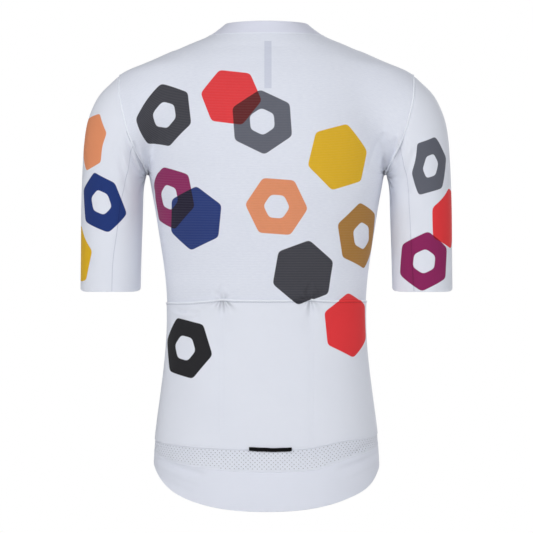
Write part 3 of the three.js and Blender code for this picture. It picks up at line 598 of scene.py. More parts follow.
@dataclass
class Surface:
    """A grid of cloth points with outward directions and places on the cut, in metres."""

    points: np.ndarray
    normals: np.ndarray
    cut: np.ndarray
    closed: bool = False

    def creased(self, creases: Sequence[Crease]) -> "Surface":
        """The cloth lifted along its outward directions by its creases."""
        rise = sum(crease.height(self.points) for crease in creases)
        return Surface(self.points + self.normals * rise[..., None], self.normals, self.cut, self.closed)

    def rolled(self, dip: float, reach: float, edges: str) -> "Surface":
        """The cloth with its seam edges turned in a little.

        Args:
            dip: How deep the edge lies.
            reach: How far from the edge the cloth starts to turn in.
            edges: Letters of the edges: f and l for the first and last row, s and e for the sides.
        """
        down = np.zeros(self.points.shape[:2])
        across = np.linalg.norm(np.diff(self.points, axis=1), axis=-1)
        along = np.linalg.norm(np.diff(self.points, axis=0), axis=-1)
        zero_r, zero_c = np.zeros((1, down.shape[1])), np.zeros((down.shape[0], 1))
        far = {
            "f": np.concatenate([zero_r, np.cumsum(along, 0)], 0),
            "l": np.concatenate([np.cumsum(along[::-1], 0)[::-1], zero_r], 0),
            "s": np.concatenate([zero_c, np.cumsum(across, 1)], 1),
            "e": np.concatenate([np.cumsum(across[:, ::-1], 1)[:, ::-1], zero_c], 1),
        }
        for edge in edges:
            down = np.maximum(down, np.exp(-((far[edge] / reach) ** 2)))
        points = self.points - self.normals * (dip * down)[..., None]
        return Surface(points, self.normals, self.cut, self.closed)

    def inset(self, edges: str, gap: float = SEAM_GAP / 2) -> "Surface":
        """The cloth with some edges drawn back from their seams.

        Args:
            edges: Letters of the edges, as in rolled.
            gap: How far.

        Returns:
            The new surface.
        """
        p = self.points.copy()
        if "f" in edges:
            p[0] += unit(p[1] - p[0]) * gap
        if "l" in edges:
            p[-1] += unit(p[-2] - p[-1]) * gap
        if "s" in edges:
            p[:, 0] += unit(p[:, 1] - p[:, 0]) * gap
        if "e" in edges:
            p[:, -1] += unit(p[:, -2] - p[:, -1]) * gap
        return Surface(p, self.normals, self.cut, self.closed)

    def raised(self, height: float) -> "Surface":
        """The cloth moved out by a height."""
        return Surface(self.points + self.normals * height, self.normals, self.cut, self.closed)

    def flat_cut(self) -> tuple[float, float, float]:
        """Width, length and area of the flat piece, in metres and square metres."""
        p = np.concatenate([self.points, self.points[:, :1]], 1) if self.closed else self.points
        across = np.linalg.norm(np.diff(p, axis=1), axis=-1).sum(1).max() * MM
        along = np.linalg.norm(np.diff(p, axis=0), axis=-1).sum(0).max() * MM
        u, v = p[1:, 1:] - p[:-1, :-1], p[1:, :-1] - p[:-1, 1:]
        area = np.linalg.norm(np.cross(u, v), axis=-1).sum() / 2 * MM**2
        return round(float(across), 3), round(float(along), 3), float(area)


def grid_mesh(name: str, surface: Surface, thick: float) -> Object:
    """A closed thin shell under a grid of cloth points, with softly rounded edges.

    Args:
        name: Name of the new object.
        surface: The cloth's outer face.
        thick: The cloth's thickness.

    Returns:
        The object, with material slot 0 for its outer face and 1 for its inner face.
    """
    outer, n, uv = surface.points, surface.normals, surface.cut
    rows, columns = outer.shape[:2]
    steps = columns if surface.closed else columns - 1
    width = uv.shape[1]
    r, c = np.meshgrid(np.arange(rows - 1), np.arange(steps), indexing="ij")
    corner = np.stack([[r, c], [r, c + 1], [r + 1, c + 1], [r + 1, c]], 0).reshape(4, 2, -1)
    vertex = (corner[:, 0] * columns + corner[:, 1] % columns).T
    place = (corner[:, 0] * width + corner[:, 1]).T
    count = rows * columns
    if surface.closed:
        ring = np.arange(columns + 1)
        loops = [np.stack([0 * ring, ring], 1), np.stack([0 * ring + rows - 1, ring[::-1]], 1)]
    else:
        loops = [
            np.array(
                [(0, i) for i in range(columns)]
                + [(i, columns - 1) for i in range(1, rows)]
                + [(rows - 1, i) for i in range(columns - 2, -1, -1)]
                + [(i, 0) for i in range(rows - 2, -1, -1)]
            )
        ]
    verts = [outer.reshape(-1, 3), (outer - n * thick).reshape(-1, 3)]
    faces = [vertex, vertex[:, ::-1] + count]
    places = [place, place[:, ::-1]]
    slots = [np.zeros(len(vertex), int), np.ones(len(vertex), int)]
    base = 2 * count
    for loop in loops:
        b = loop[:-1]
        inner_r = np.clip(b[:, 0], 1, rows - 2)
        inner_c = b[:, 1] if surface.closed else np.clip(b[:, 1], 1, columns - 2)
        edge, inside = outer[b[:, 0], b[:, 1] % columns], outer[inner_r, inner_c % columns]
        middle = edge - n[b[:, 0], b[:, 1] % columns] * (thick / 2) + unit(edge - inside) * (0.3 * thick)
        verts.append(middle)
        size = len(b)
        here, after = np.arange(size), (np.arange(size) + 1) % size
        nxt = loop[1:]
        top, top2 = b[:, 0] * columns + b[:, 1] % columns, nxt[:, 0] * columns + nxt[:, 1] % columns
        uv1, uv2 = b[:, 0] * width + b[:, 1], nxt[:, 0] * width + nxt[:, 1]
        faces.append(np.stack([top2, top, base + here, base + after], 1))
        faces.append(np.stack([base + after, base + here, top + count, top2 + count], 1))
        places += [np.stack([uv2, uv1, uv1, uv2], 1)] * 2
        slots.append(np.zeros(2 * size, int))
        base += size
    all_faces, all_places = np.concatenate(faces), np.concatenate(places)
    middle_row, middle_column = rows // 2, columns // 2
    here, beside, above = (outer[middle_row + i, middle_column + j] for i, j in ((0, 0), (0, 1), (1, 0)))
    if np.dot(np.cross(beside - here, above - here), n[middle_row, middle_column]) < 0:
        all_faces, all_places = all_faces[:, ::-1], all_places[:, ::-1]
    made = bpy.data.meshes.new(name)
    made.from_pydata((np.concatenate(verts) * MM).tolist(), [], all_faces.tolist())
    layer = made.uv_layers.new(name="cut")
    layer.data.foreach_set("uv", uv.reshape(-1, 2)[all_places.reshape(-1)].astype(np.float32).reshape(-1))
    made.polygons.foreach_set("material_index", np.concatenate(slots).astype(np.int32))
    made.polygons.foreach_set("use_smooth", np.ones(len(all_faces), bool))
    made.set_sharp_from_angle(angle=math.radians(50))
    made.validate()
    return link(name, made)


def link(name: str, mesh: Mesh) -> Object:
    """A new object of a mesh, in the scene."""
    obj = bpy.data.objects.new(name, mesh)
    bpy.context.scene.collection.objects.link(obj)
    return obj


def solid_from(name: str, verts: np.ndarray, faces: np.ndarray, smooth: bool = True) -> Object:
    """An object of vertices in millimetres and four-sided faces, with its faces turned outwards."""
    made = bpy.data.meshes.new(name)
    made.from_pydata((verts * MM).tolist(), [], faces.tolist())
    work = bmesh.new()
    work.from_mesh(made)
    bmesh.ops.recalc_face_normals(work, faces=work.faces)
    work.to_mesh(made)
    work.free()
    made.polygons.foreach_set("use_smooth", np.full(len(made.polygons), smooth))
    if smooth:
        made.set_sharp_from_angle(angle=math.radians(55))
    return link(name, made)


@dataclass
class Line:
    """A line on the cloth with its outward directions."""

    points: np.ndarray
    normals: np.ndarray

    def resampled(self, pitch: float) -> "Line":
        """The same line with points at an even pitch."""
        lengths = np.concatenate([[0], np.cumsum(np.linalg.norm(np.diff(self.points, axis=0), axis=1))])
        at = np.linspace(0, lengths[-1], max(2, round(lengths[-1] / pitch) + 1))
        points, normals = (
            np.stack([np.interp(at, lengths, values[:, i]) for i in range(3)], -1)
            for values in (self.points, self.normals)
        )
        return Line(points, unit(normals))

    def sideways(self) -> np.ndarray:
        """Directions across the line, in the cloth."""
        return unit(np.cross(np.gradient(self.points, axis=0), self.normals))

    def shifted(self, across: float, up: float = 0.0) -> "Line":
        """The line moved across the cloth and off it."""
        return Line(self.points + self.sideways() * across + self.normals * up, self.normals)

    def raised(self, height: float) -> "Line":
        """The line moved off the cloth, or into it under 0."""
        return Line(self.points + self.normals * height, self.normals)

    def seam(self, name: str, width: float, height: float, pitch: float = 2.5) -> Object:
        """A low arched ridge along the line."""
        line = self.resampled(pitch)
        across = line.sideways()
        arch = [(-0.5, -0.35), (-0.32, 0.72), (0.0, 1.0), (0.32, 0.72), (0.5, -0.35)]
        rows = [line.points + across * (x * width) + line.normals * (y * height) for x, y in arch]
        verts = np.stack(rows, 1)
        count, sides = verts.shape[:2]
        i, k = np.meshgrid(np.arange(count - 1), np.arange(sides), indexing="ij")
        after = (k + 1) % sides
        corners = (i * sides + k, i * sides + after, (i + 1) * sides + after, (i + 1) * sides + k)
        faces = np.stack([corner.reshape(-1) for corner in corners], 1)
        obj = solid_from(name, verts.reshape(-1, 3), faces)
        close_ends(obj)
        return obj

    def stitches(
        self, name: str, kind: Stitch, pitch: float, spread: float = 0.0, thread: float = 0.36, lift: float = 0.25
    ) -> Object:
        """A row of threads, each dipping into the cloth at its ends.

        Args:
            name: Name of the new object.
            kind: Straight along the line, or to and fro across it.
            pitch: Length of one stitch along the line.
            spread: Width of a zigzag.
            thread: Thickness of the thread.
            lift: How far the middle of a stitch stands off the line.
        """
        line = self.resampled(pitch)
        across = line.sideways()
        if kind is Stitch.ZIGZAG:
            way = np.where(np.arange(len(across)) % 2, 0.5, -0.5)[:, None] * spread
            ends = line.points + across * way
        else:
            ends = line.points
        a, b = ends[:-1], ends[1:]
        gap = 0.12 if kind is Stitch.STRAIGHT else 0.0
        a, b = a + (b - a) * gap, b - (b - a) * gap
        n = line.normals[:-1]
        side = unit(np.cross(b - a, n))
        cuts = [(0.0, -0.15), (0.22, 0.75 * lift), (0.5, lift), (0.78, 0.75 * lift), (1.0, -0.15)]
        rings = []
        for share, up in cuts:
            middle = a + (b - a) * share + n * up
            for x, y in ((-1, 0), (0, 1), (1, 0), (0, -1)):
                rings.append(middle + side * (x * thread / 2) + n * (y * thread / 2))
        verts = np.stack(rings, 1)
        return solid_from(name, verts.reshape(-1, 3), square_tubes(len(cuts), len(a)))


def square_tubes(rings: int, copies: int) -> np.ndarray:
    """Faces of closed square tubes, such as threads.

    Args:
        rings: Rings in one tube, each of four points.
        copies: Tubes, whose points follow one another.

    Returns:
        Four vertex numbers for each face.
    """
    total = rings * 4
    shape = []
    for i in range(0, total - 4, 4):
        for k in range(4):
            j = (k + 1) % 4
            shape.append((i + k, i + j, i + 4 + j, i + 4 + k))
    shape += [(3, 2, 1, 0), (total - 4, total - 3, total - 2, total - 1)]
    return (np.arange(copies)[:, None, None] * total + np.array(shape)[None]).reshape(-1, 4)


def close_ends(obj: Object) -> None:
    """Fills the open ends of a ridge."""
    work = bmesh.new()
    work.from_mesh(obj.data)
    bmesh.ops.holes_fill(work, edges=[e for e in work.edges if e.is_boundary], sides=0)
    bmesh.ops.recalc_face_normals(work, faces=work.faces)
    work.to_mesh(obj.data)
    work.free()


class CutFinder:
    """Finds the place on the cut that lies under a point, so that what is sewn on is printed with the cloth."""

    def __init__(self, surface: Surface) -> None:
        """Prepares the cloth's triangles."""
        points = surface.points
        if surface.closed:
            points = np.concatenate([points, points[:, :1]], 1)
        rows, columns = points.shape[:2]
        r, c = np.meshgrid(np.arange(rows - 1), np.arange(columns - 1), indexing="ij")
        a = (r * columns + c).reshape(-1)
        low, high = (a, a + 1, a + columns), (a + 1, a + columns + 1, a + columns)
        self.triangles = np.concatenate([np.stack(low, 1), np.stack(high, 1)])
        self.points = points.reshape(-1, 3)
        self.cut = surface.cut[:, :columns].reshape(-1, 2)
        self.tree = BVHTree.FromPolygons(self.points.tolist(), self.triangles.tolist())

    def lay(self, obj: Object) -> Object:
        """Gives an object the cut's coordinates that lie under it."""
        mesh = obj.data
        places = np.zeros(len(mesh.vertices) * 3, np.float32)
        mesh.vertices.foreach_get("co", places)
        places = places.reshape(-1, 3) / MM
        found = [self.tree.find_nearest(place) for place in places.tolist()]
        near = np.array([tuple(hit[0]) for hit in found])
        corners = self.triangles[np.array([hit[2] for hit in found])]
        a, b, c = (self.points[corners[:, k]] for k in range(3))
        normal = np.cross(b - a, c - a)
        size = np.maximum((normal**2).sum(-1), 1e-12)
        share_b = (np.cross(near - a, c - a) * normal).sum(-1) / size
        share_c = (np.cross(b - a, near - a) * normal).sum(-1) / size
        shares = np.stack([1 - share_b - share_c, share_b, share_c], -1)
        cut = (self.cut[corners] * shares[..., None]).sum(1)
        at = np.zeros(len(mesh.loops), np.int32)
        mesh.loops.foreach_get("vertex_index", at)
        layer = mesh.uv_layers.new(name="cut")
        layer.data.foreach_set("uv", cut[at].astype(np.float32).reshape(-1))
        return obj


# ---------------------------------------------------------------- finishes


def linear(code: str) -> tuple[float, float, float, float]:
    """A linear colour from its sRGB hex value."""
    values = [int(code[i : i + 2], 16) / 255 for i in (0, 2, 4)]
    r, g, b = (v / 12.92 if v <= 0.04045 else ((v + 0.055) / 1.055) ** 2.4 for v in values)
    return (r, g, b, 1.0)


def add_node(tree: NodeTree, kind: str, settings: dict | None = None, inputs: dict | None = None) -> Node:
    """Adds a node, sets its options, and fills or links its inputs.

    Args:
        tree: The node tree.
        kind: The node's type.
        settings: Options by name.
        inputs: Values or sockets by the input's name or number.

    Returns:
        The node.
    """
    node = tree.nodes.new(kind)
    for name, value in (settings or {}).items():
        setattr(node, name, value)
    for key, value in (inputs or {}).items():
        if isinstance(value, NodeSocket):
            tree.links.new(value, node.inputs[key])
        else:
            node.inputs[key].default_value = value
    return node


# Kinds of node and their settings, as several finishes use them
MATH, VECTOR_MATH, NOISE = "ShaderNodeMath", "ShaderNodeVectorMath", "ShaderNodeTexNoise"
MIX, BUMP = "ShaderNodeMix", "ShaderNodeBump"
SUM, PRODUCT, DIFFERENCE = {"operation": "MULTIPLY_ADD"}, {"operation": "MULTIPLY"}, {"operation": "SUBTRACT"}
CLAMPED_SUM = {"operation": "MULTIPLY_ADD", "use_clamp": True}


class Ink(Enum):
    """Sublimation inks, as printed on white cloth."""

    MUSTARD = "fbc41a"
    OCHRE = "bf873a"
    GREY = "6b6c73"
    CHARCOAL = "434247"
    CORAL = "ff3c3e"
    BLUE = "1f3a7c"
    MAGENTA = "9c2360"
    PEACH = "ffa06c"
    BLACK = "262527"


@dataclass(frozen=True)
class Motif:
    """A soft-cornered hexagon of the print, solid or hollow, placed on the cut."""

    across: float
    up: float
    size: float
    ink: Ink
    hole: float = 0.0
    turn: float = 0.0


BACK_PRINT: tuple[Motif, ...] = (
    Motif(150, -112, 80, Ink.CHARCOAL, 0.42, 8),
    Motif(50, -92, 76, Ink.CORAL, 0.0, 22),
    Motif(6, -128, 80, Ink.GREY, 0.42, 4),
    Motif(-104, -176, 84, Ink.MUSTARD, 0.0, -14),
    Motif(146, -232, 80, Ink.MAGENTA, 0.4, 12),
    Motif(104, -262, 78, Ink.BLUE, 0.0, -6),
    Motif(-14, -246, 76, Ink.PEACH, 0.42, 26),
    Motif(-146, -286, 82, Ink.OCHRE, 0.42, 10),
    Motif(-52, -338, 80, Ink.CHARCOAL, 0.0, -10),
    Motif(120, -444, 78, Ink.BLACK, 0.42, 18),
    Motif(-124, -412, 80, Ink.CORAL, 0.0, 6),
)
FRONT_LEFT_PRINT: tuple[Motif, ...] = (
    Motif(66, -116, 78, Ink.MUSTARD, 0.42, 10),
    Motif(132, -182, 80, Ink.BLUE, 0.0, -8),
    Motif(74, -236, 78, Ink.CORAL, 0.42, 20),
    Motif(150, -300, 80, Ink.GREY, 0.42, 4),
    Motif(78, -352, 80, Ink.OCHRE, 0.0, -16),
    Motif(128, -462, 78, Ink.PEACH, 0.42, 8),
)
FRONT_RIGHT_PRINT: tuple[Motif, ...] = (
    Motif(-120, -112, 80, Ink.CORAL, 0.0, -10),
    Motif(-64, -176, 78, Ink.CHARCOAL, 0.42, 14),
    Motif(-146, -244, 78, Ink.MAGENTA, 0.0, 6),
    Motif(-110, -272, 78, Ink.PEACH, 0.42, 24),
    Motif(-70, -384, 80, Ink.MUSTARD, 0.0, -6),
    Motif(-150, -430, 80, Ink.BLACK, 0.42, 12),
)
SLEEVE_LEFT_PRINT: tuple[Motif, ...] = (
    Motif(50, -152, 74, Ink.PEACH, 0.0, 12),
    Motif(70, -238, 76, Ink.BLUE, 0.42, -8),
    Motif(6, -316, 76, Ink.MUSTARD, 0.0, 18),
    Motif(-70, -200, 76, Ink.CHARCOAL, 0.42, 6),
    Motif(-92, -306, 74, Ink.CORAL, 0.42, 22),
)
SLEEVE_RIGHT_PRINT: tuple[Motif, ...] = (
    Motif(-84, -186, 76, Ink.GREY, 0.42, 16),
    Motif(-28, -262, 76, Ink.CORAL, 0.0, -8),
    Motif(-74, -322, 74, Ink.MAGENTA, 0.42, 4),
    Motif(40, -166, 76, Ink.BLUE, 0.0, 10),
    Motif(84, -280, 76, Ink.OCHRE, 0.42, -12),
)


class HexagonPrint:
    """Draws the hexagons of the print, on the cut's own coordinates."""

    corner: float = 7.0 * MM
    edge: float = 0.35 * MM

    def __init__(self) -> None:
        """Makes the group that draws one hexagon."""
        tree = bpy.data.node_groups.new("hexagon", "ShaderNodeTree")
        for name, kind in (
            ("Place", "NodeSocketVector"),
            ("Middle", "NodeSocketVector"),
            ("Turn", "NodeSocketFloat"),
            ("Half", "NodeSocketFloat"),
            ("Hole", "NodeSocketFloat"),
        ):
            tree.interface.new_socket(name, in_out="INPUT", socket_type=kind)
        tree.interface.new_socket("Mask", in_out="OUTPUT", socket_type="NodeSocketFloat")
        given = tree.nodes.new("NodeGroupInput").outputs
        away = add_node(tree, VECTOR_MATH, DIFFERENCE, {0: given[0], 1: given[1]})
        turned = add_node(
            tree,
            "ShaderNodeVectorRotate",
            {"rotation_type": "Z_AXIS"},
            {"Vector": away.outputs[0], "Angle": given[2]},
        )
        reach = None
        for k in range(3):
            angle = math.radians(60 * k)
            dot = add_node(
                tree,
                VECTOR_MATH,
                {"operation": "DOT_PRODUCT"},
                {0: turned.outputs[0], 1: (math.cos(angle), math.sin(angle), 0.0)},
            )
            size = add_node(tree, MATH, {"operation": "ABSOLUTE"}, {0: dot.outputs["Value"]}).outputs[0]
            if reach is None:
                reach = size
            else:
                reach = add_node(
                    tree, MATH, {"operation": "SMOOTH_MAX"}, {0: reach, 1: size, 2: self.corner}
                ).outputs[0]
        inside = self.step(tree, given[3], reach)
        beyond = self.step(tree, reach, given[4])
        mask = add_node(tree, MATH, PRODUCT, {0: inside, 1: beyond})
        add_node(tree, "NodeGroupOutput", None, {0: mask.outputs[0]})
        self.tree = tree

    def step(self, tree: NodeTree, more: NodeSocket, less: NodeSocket) -> NodeSocket:
        """1 where one value is over the other and 0 where it is under it, over a thin edge."""
        over = add_node(tree, MATH, DIFFERENCE, {0: more, 1: less})
        scaled = add_node(tree, MATH, CLAMPED_SUM, {0: over.outputs[0], 1: 0.5 / self.edge, 2: 0.5})
        return scaled.outputs[0]

    def over(
        self, tree: NodeTree, place: NodeSocket, cloth: NodeSocket, motifs: Sequence[Motif]
    ) -> NodeSocket:
        """Prints motifs over a colour; where two overlap their inks darken each other.

        Args:
            tree: The material's nodes.
            place: Coordinates on the cut, in metres.
            cloth: The colour of the bare cloth.
            motifs: The hexagons.

        Returns:
            The printed colour.
        """
        colour = cloth
        for motif in motifs:
            half = motif.size / 2 * MM
            mask = add_node(
                tree,
                "ShaderNodeGroup",
                {"node_tree": self.tree},
                {
                    "Place": place,
                    "Middle": (motif.across * MM, motif.up * MM, 0.0),
                    "Turn": math.radians(motif.turn),
                    "Half": half,
                    "Hole": half * motif.hole if motif.hole else -0.01,
                },
            )
            colour = add_node(
                tree,
                MIX,
                {"data_type": "RGBA", "blend_type": "MULTIPLY"},
                {0: mask.outputs[0], 6: colour, 7: linear(motif.ink.value)},
            ).outputs[2]
        return colour


@dataclass(frozen=True)
class Pucker:
    """Fine wrinkles that run together at a point of the cut, too fine for the cloth's own mesh."""

    across: float
    up: float
    reach: float
    folds: float
    rise: float

    def over(
        self, tree: NodeTree, place: NodeSocket, drift: NodeSocket, height: NodeSocket | None
    ) -> NodeSocket:
        """Adds the wrinkles to a height in millimetres.

        Args:
            tree: The node tree.
            place: Where on the cut.
            drift: A slow noise that makes the wrinkles uneven.
            height: The height so far, or None.

        Returns:
            The new height.
        """
        centre = (self.across * MM, self.up * MM, 0.0)
        away = add_node(tree, VECTOR_MATH, DIFFERENCE, {0: place, 1: centre}).outputs[0]
        x, y = split(tree, away)
        angle = add_node(tree, MATH, {"operation": "ARCTAN2"}, {0: y, 1: x}).outputs[0]
        bent = add_node(tree, MATH, SUM, {0: drift, 1: 0.9, 2: angle}).outputs[0]
        turn = add_node(tree, MATH, PRODUCT, {0: bent, 1: self.folds}).outputs[0]
        fold = add_node(tree, MATH, {"operation": "SINE"}, {0: turn}).outputs[0]
        far = add_node(tree, VECTOR_MATH, {"operation": "LENGTH"}, {0: away}).outputs["Value"]
        near = add_node(
            tree,
            "ShaderNodeMapRange",
            {"interpolation_type": "SMOOTHSTEP"},
            {0: far, 1: 0.0, 2: self.reach * MM, 3: self.rise, 4: 0.0},
        ).outputs[0]
        below = 0.0 if height is None else height
        return add_node(tree, MATH, SUM, {0: fold, 1: near, 2: below}).outputs[0]


ARMPITS: tuple[Pucker, ...] = (Pucker(216, -192, 46, 20, 0.8), Pucker(-216, -192, 50, 18, 1.0))
BACK_TACKS: tuple[Pucker, ...] = (Pucker(61, -380, 22, 7, 1.2), Pucker(-61, -380, 30, 6, 2.0))
POCKET_TACKS: tuple[Pucker, ...] = (Pucker(61, -373, 36, 8, 2.2), Pucker(-61, -373, 36, 7, 2.2))


@dataclass(frozen=True)
class KnitFinish:
    """Polyester knit: matt, with a soft sheen, and fine rows drawn by bump, with painted shade between them and a
    painted highlight on them.
    """

    name: str
    colour: str = "e6e9f1"
    shade: str = "d6dae6"  # painted shade between the rows, and the darker end of the random cloudy and slub tone
    rows: float = 2.3  # height of a row, drawn a little coarser than real so that it shows
    wales: float = 1.3
    depth: float = 0.05
    roughness: float = 0.86
    sheen: float = 0.06
    slub: float = 0.1  # thick and thin places in the yarn, a few millimetres long
    glint: float = 0.004  # painted highlight on the raised rows, which shows on dark ink
    motifs: tuple[Motif, ...] = ()
    puckers: tuple[Pucker, ...] = ()
    strip: tuple[float, float, float, float] | None = None  # left, right, low, high of a strip behind the cloth, painted on it as a grey shade

    def make(self, printer: HexagonPrint) -> Material:
        """Makes the material."""
        made, tree, shader = new_material(self.name)
        place = add_node(tree, "ShaderNodeUVMap", {"uv_map": "cut"}).outputs[0]
        x, y = split(tree, place)
        row = wave(tree, y, self.rows * MM)
        wale = wave(tree, x, self.wales * MM)
        loops = add_node(
            tree, NOISE, None, {"Vector": place, "Scale": 420.0, "Detail": 3.0, "Roughness": 0.6}
        ).outputs[0]
        cloud = add_node(tree, NOISE, None, {"Vector": place, "Scale": 14.0, "Detail": 2.0}).outputs[0]
        weave = add_node(tree, MATH, SUM, {0: wale, 1: 0.35, 2: row}).outputs[0]
        height = add_node(tree, MATH, SUM, {0: loops, 1: 0.9, 2: weave}).outputs[0]
        # Painted shade along the rows, mixed with random cloudy and slub tone of the yarn, towards the shade colour
        tone = add_node(tree, MATH, CLAMPED_SUM, {0: row, 1: 0.22, 2: 0.12}).outputs[0]
        tone = add_node(tree, MATH, CLAMPED_SUM, {0: cloud, 1: 0.25, 2: tone}).outputs[0]
        long = add_node(tree, "ShaderNodeMapping", None, {"Vector": place, "Scale": (0.2, 1.0, 1.0)}).outputs[0]
        slub = add_node(tree, NOISE, None, {"Vector": long, "Scale": 700.0, "Detail": 1.0}).outputs[0]
        tone = add_node(tree, MATH, CLAMPED_SUM, {0: slub, 1: self.slub, 2: tone}).outputs[0]
        cloth = add_node(
            tree, MIX, {"data_type": "RGBA"}, {0: tone, 6: linear(self.colour), 7: linear(self.shade)}
        ).outputs[2]
        colour = printer.over(tree, place, cloth, self.motifs)
        # Painted highlight: white added on the raised rows
        lit = add_node(tree, MATH, PRODUCT, {0: row, 1: self.glint}).outputs[0]
        colour = add_node(
            tree, MIX, {"data_type": "RGBA", "blend_type": "ADD"}, {0: lit, 6: colour, 7: linear("ffffff")}
        ).outputs[2]
        # Painted grey shade where the neck strip lies behind the cloth
        if self.strip:
            colour = self.painted_strip_shade(tree, x, y, colour)
        bump = add_node(
            tree, BUMP, None, {"Strength": 0.6, "Distance": self.depth * MM, "Height": height}
        ).outputs[0]
        wrinkled = None
        for pucker in self.puckers:
            wrinkled = pucker.over(tree, place, cloud, wrinkled)
        if wrinkled:
            bump = add_node(
                tree, BUMP, None, {"Strength": 1.0, "Distance": MM, "Height": wrinkled, "Normal": bump}
            ).outputs[0]
        rough = add_node(tree, MATH, CLAMPED_SUM, {0: loops, 1: 0.12, 2: self.roughness - 0.06}).outputs[0]
        for key, value in (("Base Color", colour), ("Normal", bump), ("Roughness", rough)):
            tree.links.new(value, shader.inputs[key])
        shader.inputs["Sheen Weight"].default_value = self.sheen
        shader.inputs["Sheen Roughness"].default_value = 0.5
        shader.inputs["Specular IOR Level"].default_value = 0.25
        return made

    def painted_strip_shade(
        self, tree: NodeTree, x: NodeSocket, y: NodeSocket, colour: NodeSocket
    ) -> NodeSocket:
        """Paints a grey shade on the cloth where a strip lies behind it."""
        left, right, low, high = (value * MM for value in self.strip)
        steep = 1400.0  # an edge of 0.7 mm
        edges = []
        for value, start, end in ((x, right, left), (y, low, high)):
            away = add_node(tree, MATH, DIFFERENCE, {0: value, 1: (start + end) / 2})
            off = add_node(tree, MATH, {"operation": "ABSOLUTE"}, {0: away.outputs[0]})
            inside = {0: off.outputs[0], 1: -steep, 2: (end - start) / 2 * steep + 0.5}
            edge = add_node(tree, MATH, CLAMPED_SUM, inside)
            edges.append(edge.outputs[0])
        mask = add_node(tree, MATH, PRODUCT, {0: edges[0], 1: edges[1]})
        return add_node(
            tree,
            MIX,
            {"data_type": "RGBA", "blend_type": "MULTIPLY"},
            {0: mask.outputs[0], 6: colour, 7: linear("ebecf1")},
        ).outputs[2]


@dataclass(frozen=True)
class PlainFinish:
    """A finish of one colour, faintly mottled, with a fine grain."""

    name: str
    colour: str
    roughness: float
    metallic: float = 0.0
    grain: float = 900.0
    depth: float = 0.02
    mottle: float = 0.06
    coat: float = 0.0
    sheen: float = 0.0
    specular: float = 0.5
    alpha: float = 1.0

    def make(self) -> Material:
        """Makes the material."""
        made, tree, shader = new_material(self.name)
        place = add_node(tree, "ShaderNodeTexCoord").outputs["Object"]
        grain = add_node(tree, NOISE, None, {"Vector": place, "Scale": self.grain, "Detail": 3.0}).outputs[0]
        dark = tuple(value * (1 - 2 * self.mottle) for value in linear(self.colour)[:3]) + (1.0,)
        colour = add_node(
            tree, MIX, {"data_type": "RGBA"}, {0: grain, 6: dark, 7: linear(self.colour)}
        ).outputs[2]
        bump = add_node(
            tree, BUMP, None, {"Strength": 0.5, "Distance": self.depth * MM, "Height": grain}
        ).outputs[0]
        rough = add_node(tree, MATH, CLAMPED_SUM, {0: grain, 1: 0.14, 2: self.roughness - 0.07}).outputs[0]
        for key, value in (("Base Color", colour), ("Normal", bump), ("Roughness", rough)):
            tree.links.new(value, shader.inputs[key])
        shader.inputs["Metallic"].default_value = self.metallic
        shader.inputs["Coat Weight"].default_value = self.coat
        shader.inputs["Sheen Weight"].default_value = self.sheen
        shader.inputs["Specular IOR Level"].default_value = self.specular
        shader.inputs["Alpha"].default_value = self.alpha
        return made


def new_material(name: str) -> tuple[Material, NodeTree, Node]:
    """A new material with its tree and its shader."""
    made = bpy.data.materials.new(name)
    made.use_nodes = True
    tree = made.node_tree
    return made, tree, tree.nodes["Principled BSDF"]


def split(tree: NodeTree, place: NodeSocket) -> tuple[NodeSocket, NodeSocket]:
    """The first two coordinates of a place."""
    parts = add_node(tree, "ShaderNodeSeparateXYZ", None, {0: place})
    return parts.outputs[0], parts.outputs[1]


def wave(tree: NodeTree, value: NodeSocket, pitch: float) -> NodeSocket:
    """A wave between 0 and 1 with the given pitch in metres."""
    turn = add_node(tree, MATH, PRODUCT, {0: value, 1: 2 * math.pi / pitch}).outputs[0]
    swing = add_node(tree, MATH, {"operation": "SINE"}, {0: turn}).outputs[0]
    return add_node(tree, MATH, SUM, {0: swing, 1: 0.5, 2: 0.5}).outputs[0]


